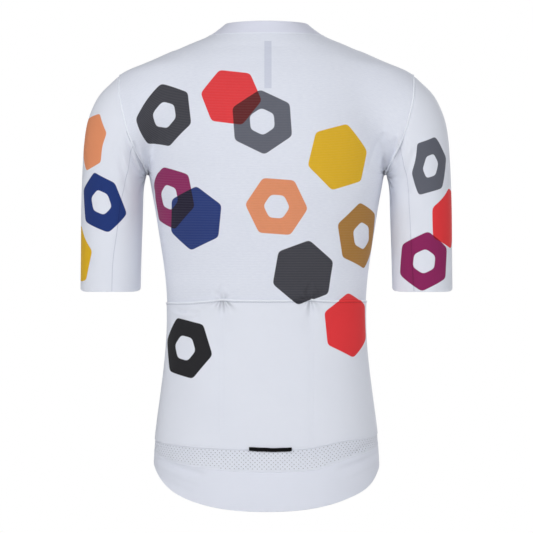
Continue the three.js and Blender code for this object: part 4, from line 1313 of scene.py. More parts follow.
class Finishes:
    """All the finishes of the garment."""

    def __init__(self) -> None:
        """Makes every material."""
        printer = HexagonPrint()

        def knit(name: str, **options: object) -> Material:
            """A knit with its print.

            Args:
                name: What the cloth is.
                options: The fields of its finish.

            Returns:
                The material.
            """
            return KnitFinish(name, **options).make(printer)

        smooth = {"rows": 1.5, "wales": 1.0, "depth": 0.04}
        # Inside the garment: greyer than the face, unprinted, with plain rows
        self.inside = knit("polyester knit, wrong side", colour="dcdfe8", shade="cfd3df", rows=1.6, depth=0.06)
        # Cool white with a painted highlight on the rows that shows as thin lines on the dark inks, and a painted
        # grey shade where the neck strip lies behind
        self.back = knit(
            "ribbed polyester knit, printed",
            motifs=BACK_PRINT,
            puckers=ARMPITS + BACK_TACKS,
            depth=0.12,
            slub=0.7,
            glint=0.03,
            strip=(3, -7, -80, -4),
        )
        # Flatter than the back: even matt ink, with tight wrinkles only at the bar tacks
        self.pocket = knit("smooth polyester knit, printed", motifs=BACK_PRINT, puckers=POCKET_TACKS, **smooth)
        # The same smooth face, each with its own hexagons
        self.front = {
            name: knit(f"smooth knit, {name} front print", motifs=motifs, **smooth)
            for name, motifs in (("left", FRONT_LEFT_PRINT), ("right", FRONT_RIGHT_PRINT))
        }
        # The same again, puckered under the arm
        self.sleeve = {
            name: knit(f"smooth knit, {name} sleeve print", motifs=motifs, puckers=(pit,), **smooth)
            for name, motifs, pit in (
                ("left", SLEEVE_LEFT_PRINT, Pucker(221, -206, 80, 22, 1.3)),
                ("right", SLEEVE_RIGHT_PRINT, Pucker(-221, -206, 80, 20, 1.6)),
            )
        }
        sewn = (("left", SLEEVE_LEFT_PRINT), ("right", SLEEVE_RIGHT_PRINT), ("pocket", BACK_PRINT))
        # Painted shade: darker cloth beside or along a seam, which draws it as a thin grey line
        self.fold = {
            name: knit(f"knit in the fold of a seam, {name}", colour="cbcfdb", shade="c1c5d2", motifs=motifs)
            for name, motifs in sewn
        }
        # Painted highlight: lighter cloth on top of a seam, which draws it as a thin light line
        self.ridge = {
            name: knit(f"knit with painted seam highlight, {name}", colour="eef1f8", shade="e4e8f1", motifs=motifs)
            for name, motifs in sewn
        }
        # Two layers, coloured a little darker, warmer and greyer than the back
        self.collar = knit("double knit collar", colour="dcdeeb", shade="cfd2e0", rows=1.5, depth=0.05)
        # Coarse threads round the holes
        self.mesh = knit("warp-knit mesh", colour="e2e5ed", shade="cfd3df", rows=3.0, wales=3.0, depth=0.08)
        # Dense band, smooth and clean, with faint upright ribs
        self.gripper = knit("elastic gripper band", colour="e3e6f0", shade="d8dce8", rows=2.0, wales=0.8, depth=0.05)
        # Dull white, with just enough sheen to part it from the cloth
        self.thread = PlainFinish("polyester thread", "e9ebf2", 0.7, grain=2500, sheen=0.2).make()
        # Flat and matt, with a fine weave
        self.tape = PlainFinish("woven polyester tape", "e4e6ec", 0.75, grain=1800, depth=0.06, sheen=0.15).make()
        # Semi-gloss: each tooth takes a small soft light
        self.coil = PlainFinish("nylon coil", "eceef2", 0.38, grain=700, depth=0.01, mottle=0.03).make()
        # Mid grey metal under thin lacquer, with blurred lights and a slightly cloudy face
        self.zinc = PlainFinish(
            "lacquered die-cast zinc", "a2a4a8", 0.32, metallic=1.0, grain=300, mottle=0.08, coat=0.3
        ).make()
        # Near black and dull until light comes straight back from it
        self.film = PlainFinish("black reflective film", "070608", 0.55, grain=1600, mottle=0.1, specular=0.08).make()
        # Painted shade: a half see-through grey sheet behind the net, so that the holes are pale grey and not open
        self.ground = PlainFinish(
            "sheer ground threads of the mesh", "d9dce6", 0.8, grain=2200, alpha=0.5, specular=0.1
        ).make()


# ---------------------------------------------------------------- pieces


def dress(obj: Object, slot: str, *materials: Material, body: str = "garment") -> Object:
    """Gives a piece its materials and its body.

    Args:
        obj: The piece.
        slot: Not used.
        materials: Outer face first.
        body: What it rides on.

    Returns:
        The same piece.
    """
    for material in materials:
        obj.data.materials.append(material)
    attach(obj, body)
    log.info("%s: %d faces", obj.name, len(obj.data.polygons))
    return obj


def declare(obj: Object, surface: Surface, node: str) -> None:
    """Logs the cut of a piece of cloth and hides the solid that it stands for.

    Args:
        obj: The piece.
        surface: The whole cloth.
        node: The solid.
    """
    width, length, area = surface.flat_cut()
    area = min(area, width * length)
    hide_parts(node)
    if min(width, length) < 0.01:  # a narrow tape's cut is not logged
        return
    log.info("%s: cut %.0f x %.0f mm, %.4f m2", obj.name, width * 1000, length * 1000, area)


@dataclass
class Cloths:
    """The sewn panels, each a thin shell on its solid's form."""

    pattern: Pattern
    finishes: Finishes
    pitch: float = 2.1
    knit_thick: float = 0.9
    band_thick: float = 1.5
    mesh_thick: float = 0.7
    half_girth: float = 205.0
    knit_roll: tuple[float, float] = (0.35, 1.2)  # how deep a sewn edge turns in, and from how far
    band_roll: tuple[float, float] = (0.3, 1.2)
    sleeve_columns: int = 112
    mouth_wave: float = 1.6  # how far the pocket mouth wanders up and down
    hole_pitch: float = 6.0  # of the mesh, along a row of holes
    hole_row: float = 3.0
    hole: tuple[float, float] = (2.0, 1.5)  # width and height of a hole

    def __post_init__(self) -> None:
        """Works out the columns and rows that neighbouring panels share."""
        u = stops(self.half_girth, self.pitch, last=False)
        share = self.pattern.shoulder_share
        u[np.abs(u - share).argmin()] = share
        self.u = u
        self.v = stops(215.0, self.pitch, first=False)
        self.form = self.pattern.form
        self.sleeves: dict[str, Surface] = {}

    def lie(self, points: np.ndarray, cut: np.ndarray, closed: bool = False, fine: bool = True) -> Surface:
        """Cloth points with their directions and creases."""
        surface = Surface(points, self.form.normals(points), cut * MM, closed)
        return surface.creased(MAIN_FOLDS + (FINE_CREASES if fine else ()))

    @staticmethod
    def across(points: np.ndarray, middle: int) -> np.ndarray:
        """Signed length along each row from a column, growing towards +x."""
        steps = np.linalg.norm(np.diff(points, axis=1), axis=-1)
        total = np.concatenate([np.zeros((len(points), 1)), np.cumsum(steps, 1)], 1)
        return total[:, middle : middle + 1] - total

    @staticmethod
    def heights(points: np.ndarray, start: int | None) -> np.ndarray:
        """Heights on the cut: the points' own, and from a row on their length along the cloth."""
        up = points[..., 2].copy()
        if start is not None:
            steps = np.linalg.norm(np.diff(points[start:], axis=0), axis=-1)
            up[start + 1 :] = up[start] + np.cumsum(steps, 0)
        return up

    @staticmethod
    def both(left: np.ndarray, right: np.ndarray) -> np.ndarray:
        """The whole back from its two halves, of which the right one is mirrored."""
        return np.concatenate([left, right[:, -2::-1] * FLIP], 1)

    def half_rows(
        self, low: SeamLine, high: SeamLine, rows: np.ndarray, side: Side, right: bool = False
    ) -> np.ndarray:
        """Half of a stretch of the body between two seams."""
        u, v = np.meshgrid(self.u, rows)
        return self.pattern.ring(side, u, low.height(u, right) * (1 - v) + high.height(u, right) * v)

    def strip(self, low: SeamLine, high: SeamLine, rows: np.ndarray) -> np.ndarray:
        """A stretch of the whole back between two seams."""
        return self.both(*(self.half_rows(low, high, rows, B, right) for right in (False, True)))

    def back_surface(self, points: np.ndarray, upper_from: int | None = None) -> Surface:
        """The back's cloth, with the cut measured from the middle line."""
        cut = np.stack([self.across(points, len(self.u) - 1), self.heights(points, upper_from)], -1)
        return self.lie(points, cut)

    def back(self) -> None:
        """The back, from the neck and shoulders down behind the pockets."""
        pattern = self.pattern
        pit = SeamLine(float(pattern.armpit[2]))
        hidden = self.strip(pattern.mesh_top, pattern.pocket_mouth, stops(200, 9.0, last=False))
        chest = self.strip(pattern.pocket_mouth, pit, np.linspace(0, 1, round(180 / self.pitch)))
        upper = pattern.upper(B, self.u, self.v)
        points = np.concatenate([hidden[:-1], chest[:-1], self.both(upper, upper)])
        surface = self.back_surface(points, len(hidden) + len(chest) - 2)
        self.back_edge = surface
        made = surface.inset("flse").rolled(*self.knit_roll, "lse")
        obj = grid_mesh("back", made, self.knit_thick)
        dress(obj, "knit_back", self.finishes.back, self.finishes.inside)
        declare(obj, surface, "back_panel")

    def pocket(self) -> None:
        """The pocket panel over the back, with a mouth that wanders a little."""
        pattern = self.pattern
        rows = stops(200, self.pitch)
        v = np.repeat(rows[:, None], len(self.u), 1)
        surface = self.back_surface(self.strip(pattern.mesh_top, pattern.pocket_mouth, rows))
        x = surface.points[..., 0]
        up_at_tacks = 0.9 * np.exp(-(((np.abs(x) - 62) / 16) ** 2))
        down_left, down_middle = 0.9 * np.exp(-(((x - 112) / 22) ** 2)), 0.4 * np.exp(-((x / 30) ** 2))
        drift = self.mouth_wave * (up_at_tacks - down_left - down_middle)
        near = smooth_step(np.concatenate([v, v[:, -2::-1]], 1), 0.85, 1.0)
        surface.points[..., 2] += drift * near
        surface = surface.raised(SEAM_GAP + self.knit_thick)
        self.mouth = Line(surface.points[-1], surface.normals[-1])
        self.pocket_surface = surface
        made = surface.inset("fse").rolled(*self.knit_roll, "fse")
        obj = grid_mesh("pocket_panel_cloth", made, self.knit_thick)
        dress(obj, "knit_smooth", self.finishes.pocket, self.finishes.inside)
        declare(obj, surface, "pocket_panel")

    def tail(self) -> None:
        """The gripper hem behind, with its dropped tail."""
        pattern = self.pattern
        surface = self.back_surface(self.strip(pattern.hem, pattern.mesh_bottom, stops(55, self.pitch)))
        self.tail_surface = surface
        made = surface.inset("lse").rolled(*self.band_roll, "lse")
        obj = grid_mesh("tail_gripper", made, self.band_thick)
        dress(obj, "gripper", self.finishes.gripper, self.finishes.inside)
        declare(obj, surface, "hem_back")

    def front(self, name: str) -> None:
        """One front with its gripper hem.

        Args:
            name: The wearer's left or right.
        """
        pattern = self.pattern
        pit = SeamLine(float(pattern.armpit[2]))
        lower = self.half_rows(pattern.front_band_top, pit, stops(390, self.pitch, last=False), F)
        upper = pattern.upper(F, self.u, self.v)
        points = np.concatenate([lower[:-1], upper])
        band = self.half_rows(pattern.front_hem, pattern.front_band_top, stops(21, self.pitch), F)
        for grid, start in ((points, len(lower) - 1), (band, None)):
            across = pattern.zip_half + self.across(grid, grid.shape[1] - 1)
            cut = np.stack([across, self.heights(grid, start)], -1)
            if name == "right":
                grid, cut = grid * FLIP, cut * FLIP[:2]
            surface = self.lie(grid, cut)
            if start is not None:
                shell = surface.inset("flse").rolled(*self.knit_roll, "flse")
                obj = grid_mesh(f"front_{name}_cloth", shell, self.knit_thick)
                dress(obj, "knit_smooth", self.finishes.front[name], self.finishes.inside)
                declare(obj, surface, f"front_{name}")
            else:
                shell = surface.inset("lse").rolled(*self.band_roll, "lse")
                obj = grid_mesh(f"front_gripper_{name}", shell, self.band_thick)
                dress(obj, "gripper", self.finishes.gripper, self.finishes.inside)
                declare(obj, surface, f"hem_front_{name}")

    def sleeve(self, name: str) -> None:
        """One sleeve, a tube from the armhole to the open cuff.

        Args:
            name: The wearer's left or right.
        """
        columns = self.sleeve_columns
        rings = self.pattern.sleeve(columns, stops(245, self.pitch, last=False))
        if name == "right":
            rings = rings * FLIP
        wrapped = np.concatenate([rings, rings[:, :1]], 1)
        outer = columns // 2
        steps = np.linalg.norm(np.diff(wrapped, axis=1), axis=-1)
        total = np.concatenate([np.zeros((len(rings), 1)), np.cumsum(steps, 1)], 1)
        across = total[:, outer : outer + 1] - total
        if name == "right":
            across = -across
        steps = np.linalg.norm(np.diff(wrapped, axis=0), axis=-1)
        rise = np.concatenate([np.cumsum(steps[::-1], 0)[::-1], np.zeros((1, columns + 1))], 0)
        surface = self.lie(rings, np.stack([across, self.pattern.cuff + rise], -1), closed=True)
        self.sleeves[name] = surface
        made = surface.inset("f").rolled(*self.knit_roll, "f").rolled(0.9, 4.0, "f")
        obj = grid_mesh(f"sleeve_{name}_cloth", made, self.knit_thick)
        dress(obj, "knit_smooth", self.finishes.sleeve[name], self.finishes.inside)
        declare(obj, surface, f"sleeve_{name}")

    def collar(self) -> None:
        """The double collar, open at the zip."""
        share = stops(130, self.pitch, first=False)
        rows = []
        for lift in stops(18, 2.0):
            front, back = (self.pattern.neck(side, share, lift) for side in (F, B))
            left = np.concatenate([front[::-1], back[1:]])
            rows.append(np.concatenate([left, left[-2::-1] * FLIP]))
        points = np.stack(rows)
        middle = points.shape[1] // 2
        cut = np.stack([self.across(points, middle), points[..., 2]], -1)
        surface = self.lie(points, cut, fine=False)
        self.collar_surface = surface
        made = surface.inset("fse").rolled(0.4, 1.3, "fse").rolled(0.35, 0.8, "l")
        obj = grid_mesh("collar_band", made, self.band_thick)
        dress(obj, "knit_smooth", self.finishes.collar, self.finishes.collar)
        declare(obj, surface, "collar")

    def mesh_band(self) -> None:
        """The pierced mesh band: staggered holes at an even pitch, cut off by its slanted lower seam.

        Its net is drawn flat, with a hexagonal hole in every other pair of cells, and then laid on the form.
        """
        pattern = self.pattern
        width = 2 * self.ring_length(pattern.mesh_bottom.side)
        columns = 2 * round(width / self.hole_pitch)
        s = np.linspace(-1, 1, columns + 1)  # side seam to side seam
        u = 1 - np.abs(s)
        depth = pattern.mesh_top.height(u, s > 0) - pattern.mesh_bottom.height(u, s > 0)
        margin, beyond = 1.6, 60.0  # the plain edge at the top seam, and a line past the lower one
        lines = np.concatenate([[0.0, margin], margin + self.hole_row * np.arange(1, 12), [beyond]])
        verts: list[tuple[float, float]] = []
        index: dict[tuple[int, int], int] = {}

        def vertex(i: int, j: int) -> int:
            """The corner of two cells, held to the band's lower seam."""
            if (i, j) not in index:
                index[i, j] = len(verts)
                verts.append((s[i], min(lines[j], depth[i])))
            return index[i, j]

        faces: list[tuple[int, ...]] = []
        share = self.hole[0] / self.hole_pitch
        tall = self.hole[1] / self.hole_row
        for j in range(len(lines) - 1):
            i = 0
            while i < columns:
                staggered = (i + j) % 2 == 0
                whole = i + 2 <= columns and 0 < j < len(lines) - 2
                clear = whole and all(lines[j + 1] < depth[k] - 0.8 for k in (i, i + 1, i + 2))
                if staggered and clear:
                    around = ((0, 0), (1, 0), (2, 0), (2, 1), (1, 1), (0, 1))
                    ring = [vertex(i + right, j + down) for right, down in around]
                    centre = np.array([s[i + 1], (lines[j] + lines[j + 1]) / 2])
                    reach = np.array([(s[i + 2] - s[i]) / 2 * share, self.hole_row / 2 * tall])
                    hexagon = []
                    for dx, dy in ((-0.62, -0.8), (0, -1), (0.62, -0.8), (0.62, 0.8), (0, 1), (-0.62, 0.8)):
                        wide = 1.0 if dx == 0 else 1.45
                        hexagon.append(len(verts))
                        at = centre + reach * np.array([dx * wide, dy * (1.0 if dx == 0 else 0.7)])
                        verts.append((float(at[0]), float(at[1])))
                    for k in range(6):
                        m = (k + 1) % 6
                        faces.append((ring[k], ring[m], hexagon[m], hexagon[k]))
                    i += 2
                else:
                    faces.append((vertex(i, j), vertex(i + 1, j), vertex(i + 1, j + 1), vertex(i, j + 1)))
                    i += 1
        flat = np.array(verts)
        su = 1 - np.abs(flat[:, 0])
        z = pattern.mesh_top.height(su, flat[:, 0] > 0) - flat[:, 1]
        points = pattern.ring(B, su, z)
        points[flat[:, 0] > 0, 0] *= -1
        surface = self.lie(points, np.stack([-flat[:, 0] * width / 2, z], -1))
        made = bpy.data.meshes.new("mesh_band_net")
        made.from_pydata((surface.points * MM).tolist(), [], faces)
        layer = made.uv_layers.new(name="cut")
        corners = np.zeros(len(made.loops), np.int32)
        made.loops.foreach_get("vertex_index", corners)
        layer.data.foreach_set("uv", surface.cut[corners].astype(np.float32).reshape(-1))
        work = bmesh.new()
        work.from_mesh(made)
        bmesh.ops.remove_doubles(work, verts=work.verts, dist=0.02 * MM)
        bmesh.ops.dissolve_degenerate(work, edges=work.edges, dist=0.02 * MM)
        facing = sum(f.normal.y * f.calc_area() for f in work.faces)
        if facing < 0:
            bmesh.ops.reverse_faces(work, faces=work.faces)
        work.to_mesh(made)
        work.free()
        obj = link("mesh_band_net", made)
        apply_modifier(obj, "SOLIDIFY", thickness=self.mesh_thick * MM, offset=-1.0, use_even_offset=False)
        dress(obj, "mesh_knit", self.finishes.mesh)
        grid = self.back_surface(self.strip(pattern.mesh_bottom, pattern.mesh_top, np.linspace(0, 1, 6)))
        width_m, length, area = grid.flat_cut()
        # A half see-through sheet of painted shade behind the holes of the net
        ground = grid_mesh("mesh_band_ground", grid.inset("flse", 0.3).raised(-0.45), 0.06)
        dress(ground, "mesh_knit", self.finishes.ground, self.finishes.ground)
        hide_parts("mesh_band")

    def ring_length(self, z: float) -> float:
        """Half the back's width at a height, along the cloth."""
        u = np.linspace(0, 1, 90)
        points = self.pattern.ring(B, u, np.full(u.shape, z))
        return float(np.linalg.norm(np.diff(points, axis=0), axis=1).sum())

    def line_on(
        self, places: Sequence[tuple[float, float]], side: Side, lift: float = 0.0, pitch: float = 3.0
    ) -> Line:
        """A smooth line on the cloth, seen from behind or before.

        Args:
            places: Its points in x and z.
            side: Back or front.
            lift: How far it lies off the cloth.
            pitch: Distance between its points.

        Returns:
            The line.
        """
        given = np.array(places, float)
        lengths = np.concatenate([[0], np.cumsum(np.linalg.norm(np.diff(given, axis=0), axis=1))])
        at = np.linspace(0, lengths[-1], max(3, round(lengths[-1] / pitch)))
        if len(given) > 2:
            table = SectionTable([(length, *place) for length, place in zip(lengths, given)])
            x, z = table.at(at)
        else:
            x, z = (np.interp(at, lengths, given[:, i]) for i in (0, 1))
        middle = np.where(np.abs(x) > 175, -3.0, 0.0)
        start = np.stack([x, middle, z], -1)
        points = self.form.cast(start, np.broadcast_to([0.0, side.value, 0], start.shape))
        surface = self.lie(points[None], np.zeros((1, len(points), 2)))
        return Line(surface.points[0] + surface.normals[0] * lift, surface.normals[0])


def apply_modifier(obj: Object, kind: str, **settings: float | bool | str) -> None:
    """Adds a modifier with its settings and applies it."""
    for other in bpy.context.selected_objects:
        other.select_set(False)
    bpy.context.view_layer.objects.active = obj
    obj.select_set(True)
    modifier = obj.modifiers.new(kind.lower(), kind)
    for name, value in settings.items():
        setattr(modifier, name, value)
    bpy.ops.object.modifier_apply(modifier=modifier.name)
    obj.select_set(False)


@dataclass
class Sewing:
    """Seams, stitches, the bound pocket mouth and the bar tacks."""

    cloths: Cloths
    finishes: Finishes
    seam_height: float = 0.9
    tack_x: tuple[float, ...] = (62.0, -62.0)
    tack_z: float = -377.0
    tack_half: float = 4.5
    row_end: float = -573.0  # where the stitches between the pockets run under the mesh seam
    twin: float = 3.0  # half the distance between twin rows of stitches
    sleeve_seam_left: tuple[tuple[float, float], ...] = (
        (188, -160),
        (191, -172),
        (199, -210),
        (205, -236),
        (211.5, -283),
        (216, -314),
        (218.5, -364.2),
    )
    sleeve_seam_right: tuple[tuple[float, float], ...] = (
        (-186, -158),
        (-191, -176),
        (-197, -206),
        (-201, -240),
        (-204, -290),
        (-206, -330),
        (-208.5, -364.2),
    )

    def lay(
        self, obj: Object, finder: CutFinder, material: Material, slot: str = "knit_smooth"
    ) -> None:
        """Dresses a sewn line, which was printed together with the cloth under it."""
        dress(finder.lay(obj), slot, material)

    def flatlock(
        self, name: str, line: Line, finder: CutFinder, material: Material, width: float, height: float
    ) -> None:
        """A low seam with zigzag threads over it.

        Args:
            name: Name of the seam.
            line: Where it runs.
            finder: Finds its place on the cut.
            material: Its finish.
            width: Across.
            height: Over the cloth.
        """
        self.lay(line.seam(f"seam_{name}", width, height), finder, material)
        over = line.raised(height * 0.8)
        threads = over.stitches(
            f"flatlock_{name}", Stitch.ZIGZAG, 1.5, spread=width * 0.72, thread=0.3, lift=0.1
        )
        self.lay(threads, finder, material)

    def sleeves(self) -> None:
        """The seams between body and sleeves, and the one down the back of each sleeve."""
        finishes = self.finishes
        for name, places in (("left", self.sleeve_seam_left), ("right", self.sleeve_seam_right)):
            surface = self.cloths.sleeves[name]
            finder = CutFinder(surface)
            points, normals = (np.concatenate([grid[0], grid[0, :1]]) for grid in (surface.points, surface.normals))
            ring = Line(points, normals).raised(-0.1)
            # The armhole seam carries a painted highlight, and a thin ribbon beside it a painted shade
            self.flatlock(f"armhole_{name}", ring, finder, finishes.ridge[name], 2.4, self.seam_height)
            outward = np.abs(ring.shifted(1.9).points[:, 0]).mean() > np.abs(points[:, 0]).mean()
            fold = ring.shifted(2.0 if outward else -2.0, -0.6)
            self.lay(fold.seam(f"fold_armhole_{name}", 1.0, 0.14), finder, finishes.fold[name])
            line = self.cloths.line_on(places, B, lift=-0.02)
            # The sleeve seam is a thin ribbon of painted shade
            self.lay(line.seam(f"seam_sleeve_{name}", 1.15, 0.2), finder, finishes.fold[name])
            for row, way in (("a", -1.3), ("b", 1.3)):
                threads = line.shifted(way).stitches(
                    f"stitches_sleeve_{name}_{row}", Stitch.STRAIGHT, 2.4, thread=0.3, lift=0.18
                )
                self.lay(threads, finder, finishes.sleeve[name])

    def body(self) -> None:
        """Side, shoulder, collar and band seams."""
        cloths, finishes = self.cloths, self.finishes
        back, tail, collar = cloths.back_edge, cloths.tail_surface, cloths.collar_surface
        on_back, on_tail, on_collar = CutFinder(back), CutFinder(tail), CutFinder(collar)
        u_count, v_count = len(cloths.u), len(cloths.v)
        corner = int(np.abs(cloths.u - cloths.pattern.shoulder_share).argmin())
        below = slice(0, len(back.points) - v_count + 1)
        left, right = slice(0, corner + 1), slice(2 * u_count - 2 - corner, None)
        for name, column, row in (("left", 0, left), ("right", -1, right)):
            points = np.concatenate([tail.points[:-1, column], back.points[below, column]])
            normals = np.concatenate([tail.normals[:-1, column], back.normals[below, column]])
            side = Line(points, normals).raised(-0.12)
            self.flatlock(f"side_{name}", side, on_back, finishes.back, 2.0, 0.3)
            top = Line(back.points[-1, row], back.normals[-1, row]).raised(-0.12)
            self.flatlock(f"shoulder_{name}", top, on_back, finishes.back, 2.2, 0.35)
        neck = Line(collar.points[0], collar.normals[0]).raised(-0.1)
        self.lay(neck.seam("seam_neck", 2.2, 0.5), on_collar, finishes.gripper)
        topstitch = Line(collar.points[1] - np.array([0, 0, 3.4]), collar.normals[1])
        threads = topstitch.stitches("topstitch_neck", Stitch.STRAIGHT, 2.6, thread=0.3, lift=0.3)
        self.lay(threads, on_collar, finishes.thread)
        for name, surface, row, wide, lift in (
            ("mesh_top", cloths.pocket_surface, 0, 2.2, -0.5),
            ("mesh_low", tail, -1, 2.4, -0.1),
        ):
            line = Line(surface.points[row], surface.normals[row]).raised(lift)
            self.lay(line.seam(f"seam_{name}", wide, 0.35), on_tail, finishes.gripper, "gripper")
            threads = line.raised(0.25).stitches(f"stitches_{name}", Stitch.STRAIGHT, 2.4, thread=0.3, lift=0.25)
            self.lay(threads, on_tail, finishes.thread, "gripper")

    def pockets(self) -> None:
        """The bound mouth, the bar tacks and the twin stitches that part the three pockets."""
        cloths, printed = self.cloths, self.finishes.pocket
        mouth = cloths.mouth
        finder = CutFinder(cloths.pocket_surface)
        # The binding carries a painted highlight, and a thin ribbon under it a painted shade
        binding = Line(mouth.points - np.array([0, 0, 0.7]) - mouth.normals * 0.35, mouth.normals)
        self.lay(binding.seam("pocket_binding", 2.8, 1.4), finder, self.finishes.ridge["pocket"])
        under = Line(binding.points - np.array([0, 0, 2.0]) + mouth.normals * 0.3, mouth.normals)
        self.lay(under.seam("binding_fold", 1.2, 0.14), finder, self.finishes.fold["pocket"])
        edge = Line(binding.points - np.array([0, 0, 1.9]) + mouth.normals * 0.35, mouth.normals)
        self.lay(edge.stitches("binding_stitches", Stitch.STRAIGHT, 2.6, thread=0.3, lift=0.25), finder, printed)
        lift = SEAM_GAP + cloths.knit_thick + 0.02
        for x in self.tack_x:
            name = "left" if x > 0 else "right"
            for row, way in (("a", -1), ("b", 1)):
                places = [(x + way * self.twin, self.tack_z - 9), (x + way * self.twin * 1.05, self.row_end)]
                threads = cloths.line_on(places, B, lift).stitches(
                    f"pocket_stitches_{name}_{row}", Stitch.STRAIGHT, 2.6, thread=0.42, lift=0.22
                )
                self.lay(threads, finder, printed)
            ends = [(x - self.tack_half, self.tack_z), (x + self.tack_half, self.tack_z)]
            tack = cloths.line_on(ends, B, lift + 0.35, pitch=1.0)
            threads = tack.stitches(f"bar_tack_{name}", Stitch.ZIGZAG, 0.42, spread=2.0, thread=0.36, lift=0.25)
            self.lay(threads, finder, printed)


@dataclass
class ZipFastener:
    """The front zip: tapes, coil, slider and pull."""

    cloths: Cloths
    finishes: Finishes
    tape_wall: float = 0.8
    coil_pitch: float = 1.3

    def edge(self) -> tuple[np.ndarray, np.ndarray, np.ndarray]:
        """Left edge of the slot from the hem up: points, directions and the wall there."""
        pattern = self.cloths.pattern
        z = np.linspace(pattern.front_hem.side, pattern.collar_front - pattern.neck_drop - 0.5, 240)
        start = np.stack([np.full(z.shape, pattern.zip_half), 0 * z, z], -1)
        points = pattern.form.cast(start, np.broadcast_to([0.0, -1, 0], start.shape))
        collar = smooth_step(z, -50.0, -44.0)
        band = 1 - smooth_step(z, -591.0, -586.0)
        return points, pattern.form.normals(points), 1.2 + 0.6 * np.maximum(collar, band)

    def build(self) -> None:
        """Makes the tapes, the coil and the metal pieces."""
        points, normals, wall = self.edge()
        behind = points - normals * (wall + SEAM_GAP)[:, None]
        for name, way in (("left", 1), ("right", -1)):
            reach = (3.15, 4.6, 6.0, 9.0, 12.0, 15.5, 17.2)  # x of the tape's columns, from its woven edge
            columns = []
            for x in reach:
                at = behind.copy()
                at[:, 0] = x
                if x > 6:
                    start = np.stack([np.full(len(at), x), 0 * at[:, 2], at[:, 2]], -1)
                    on = self.cloths.form.cast(start, np.broadcast_to([0.0, -1, 0], start.shape))
                    at = on - self.cloths.form.normals(on) * (wall + SEAM_GAP)[:, None]
                columns.append(at * np.array([way, 1, 1]))
            grid = np.stack(columns, 1)
            facing = unit(np.stack([normals[:, 0] * way, normals[:, 1], normals[:, 2]], -1))
            surface = Surface(grid, np.repeat(facing[:, None], len(reach), 1), grid[..., [0, 2]] * MM)
            obj = grid_mesh(f"zip_tape_{name}_woven", surface, self.tape_wall * 0.8)
            dress(obj, "zip_tape", self.finishes.tape, self.finishes.tape)
            declare(obj, surface, f"zip_tape_{name}")
        self.coil(behind - normals * (self.tape_wall / 2))
        for node, body in (("zip_slider", "garment"), ("zip_pull", "zip_pull")):
            self.metal(node, body)

    def coil(self, path: np.ndarray) -> None:
        """The two interlocking rows of the coil, one small loop copied along the chain."""
        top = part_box("zip_chain")[1][2] / MM
        path = path[path[:, 2] < top - 0.4].copy()
        path[:, 0] = 0.0
        up = unit(np.gradient(path, axis=0))
        out = unit(np.cross(up, np.array([1.0, 0, 0])))
        out *= np.sign(-out[:, 1:2])
        line = Line(path, out).resampled(self.coil_pitch / 2)
        along = unit(np.gradient(line.points, axis=0))
        loop = [(-2.55, 0.0), (-2.2, 0.85), (-0.4, 1.0), (0.55, 0.75), (0.8, 0.0)]
        rings = []
        thick = 0.3  # half the thread of the coil
        way = np.where(np.arange(len(along)) % 2, 1.0, -1.0)[:, None]
        x_axis = np.array([1.0, 0, 0])
        for x, y in loop:
            middle = line.points + x_axis * x * way + line.normals * (y - 0.1)
            for a, b in ((-1, -1), (1, -1), (1, 1), (-1, 1)):
                rings.append(middle + along * (a * thick) + line.normals * (b * thick * 0.8))
        faces = square_tubes(len(loop), len(line.points))
        obj = solid_from("zip_coil_teeth", np.stack(rings, 1).reshape(-1, 3), faces)
        dress(obj, "zip_coil", self.finishes.coil)
        core = line.raised(-0.75).seam("zip_cord", 4.6, 0.7)
        dress(core, "zip_coil", self.finishes.tape)
        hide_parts("zip_chain")

    def metal(self, node: str, body: str) -> None:
        """A cast piece with its edges rounded, from its solid's own shape."""
        source = bpy.data.objects[node]
        copy = source.data.copy()
        obj = link(f"{node}_cast", copy)
        obj.matrix_world = source.matrix_world.copy()
        work = bmesh.new()
        work.from_mesh(copy)
        work.transform(source.matrix_world)
        bmesh.ops.remove_doubles(work, verts=work.verts, dist=0.01 * MM)
        bmesh.ops.dissolve_limit(work, angle_limit=math.radians(2), verts=work.verts, edges=work.edges)
        work.to_mesh(copy)
        work.free()
        obj.matrix_world.identity()
        copy.materials.clear()
        edge = {"width": 0.22 * MM, "segments": 2, "limit_method": "ANGLE", "angle_limit": math.radians(40)}
        apply_modifier(obj, "BEVEL", **edge)
        obj.data.polygons.foreach_set("use_smooth", np.ones(len(obj.data.polygons), bool))
        obj.data.set_sharp_from_angle(angle=math.radians(38))
        dress(obj, "zip_metal", self.finishes.zinc, body=body)
        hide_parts(node)


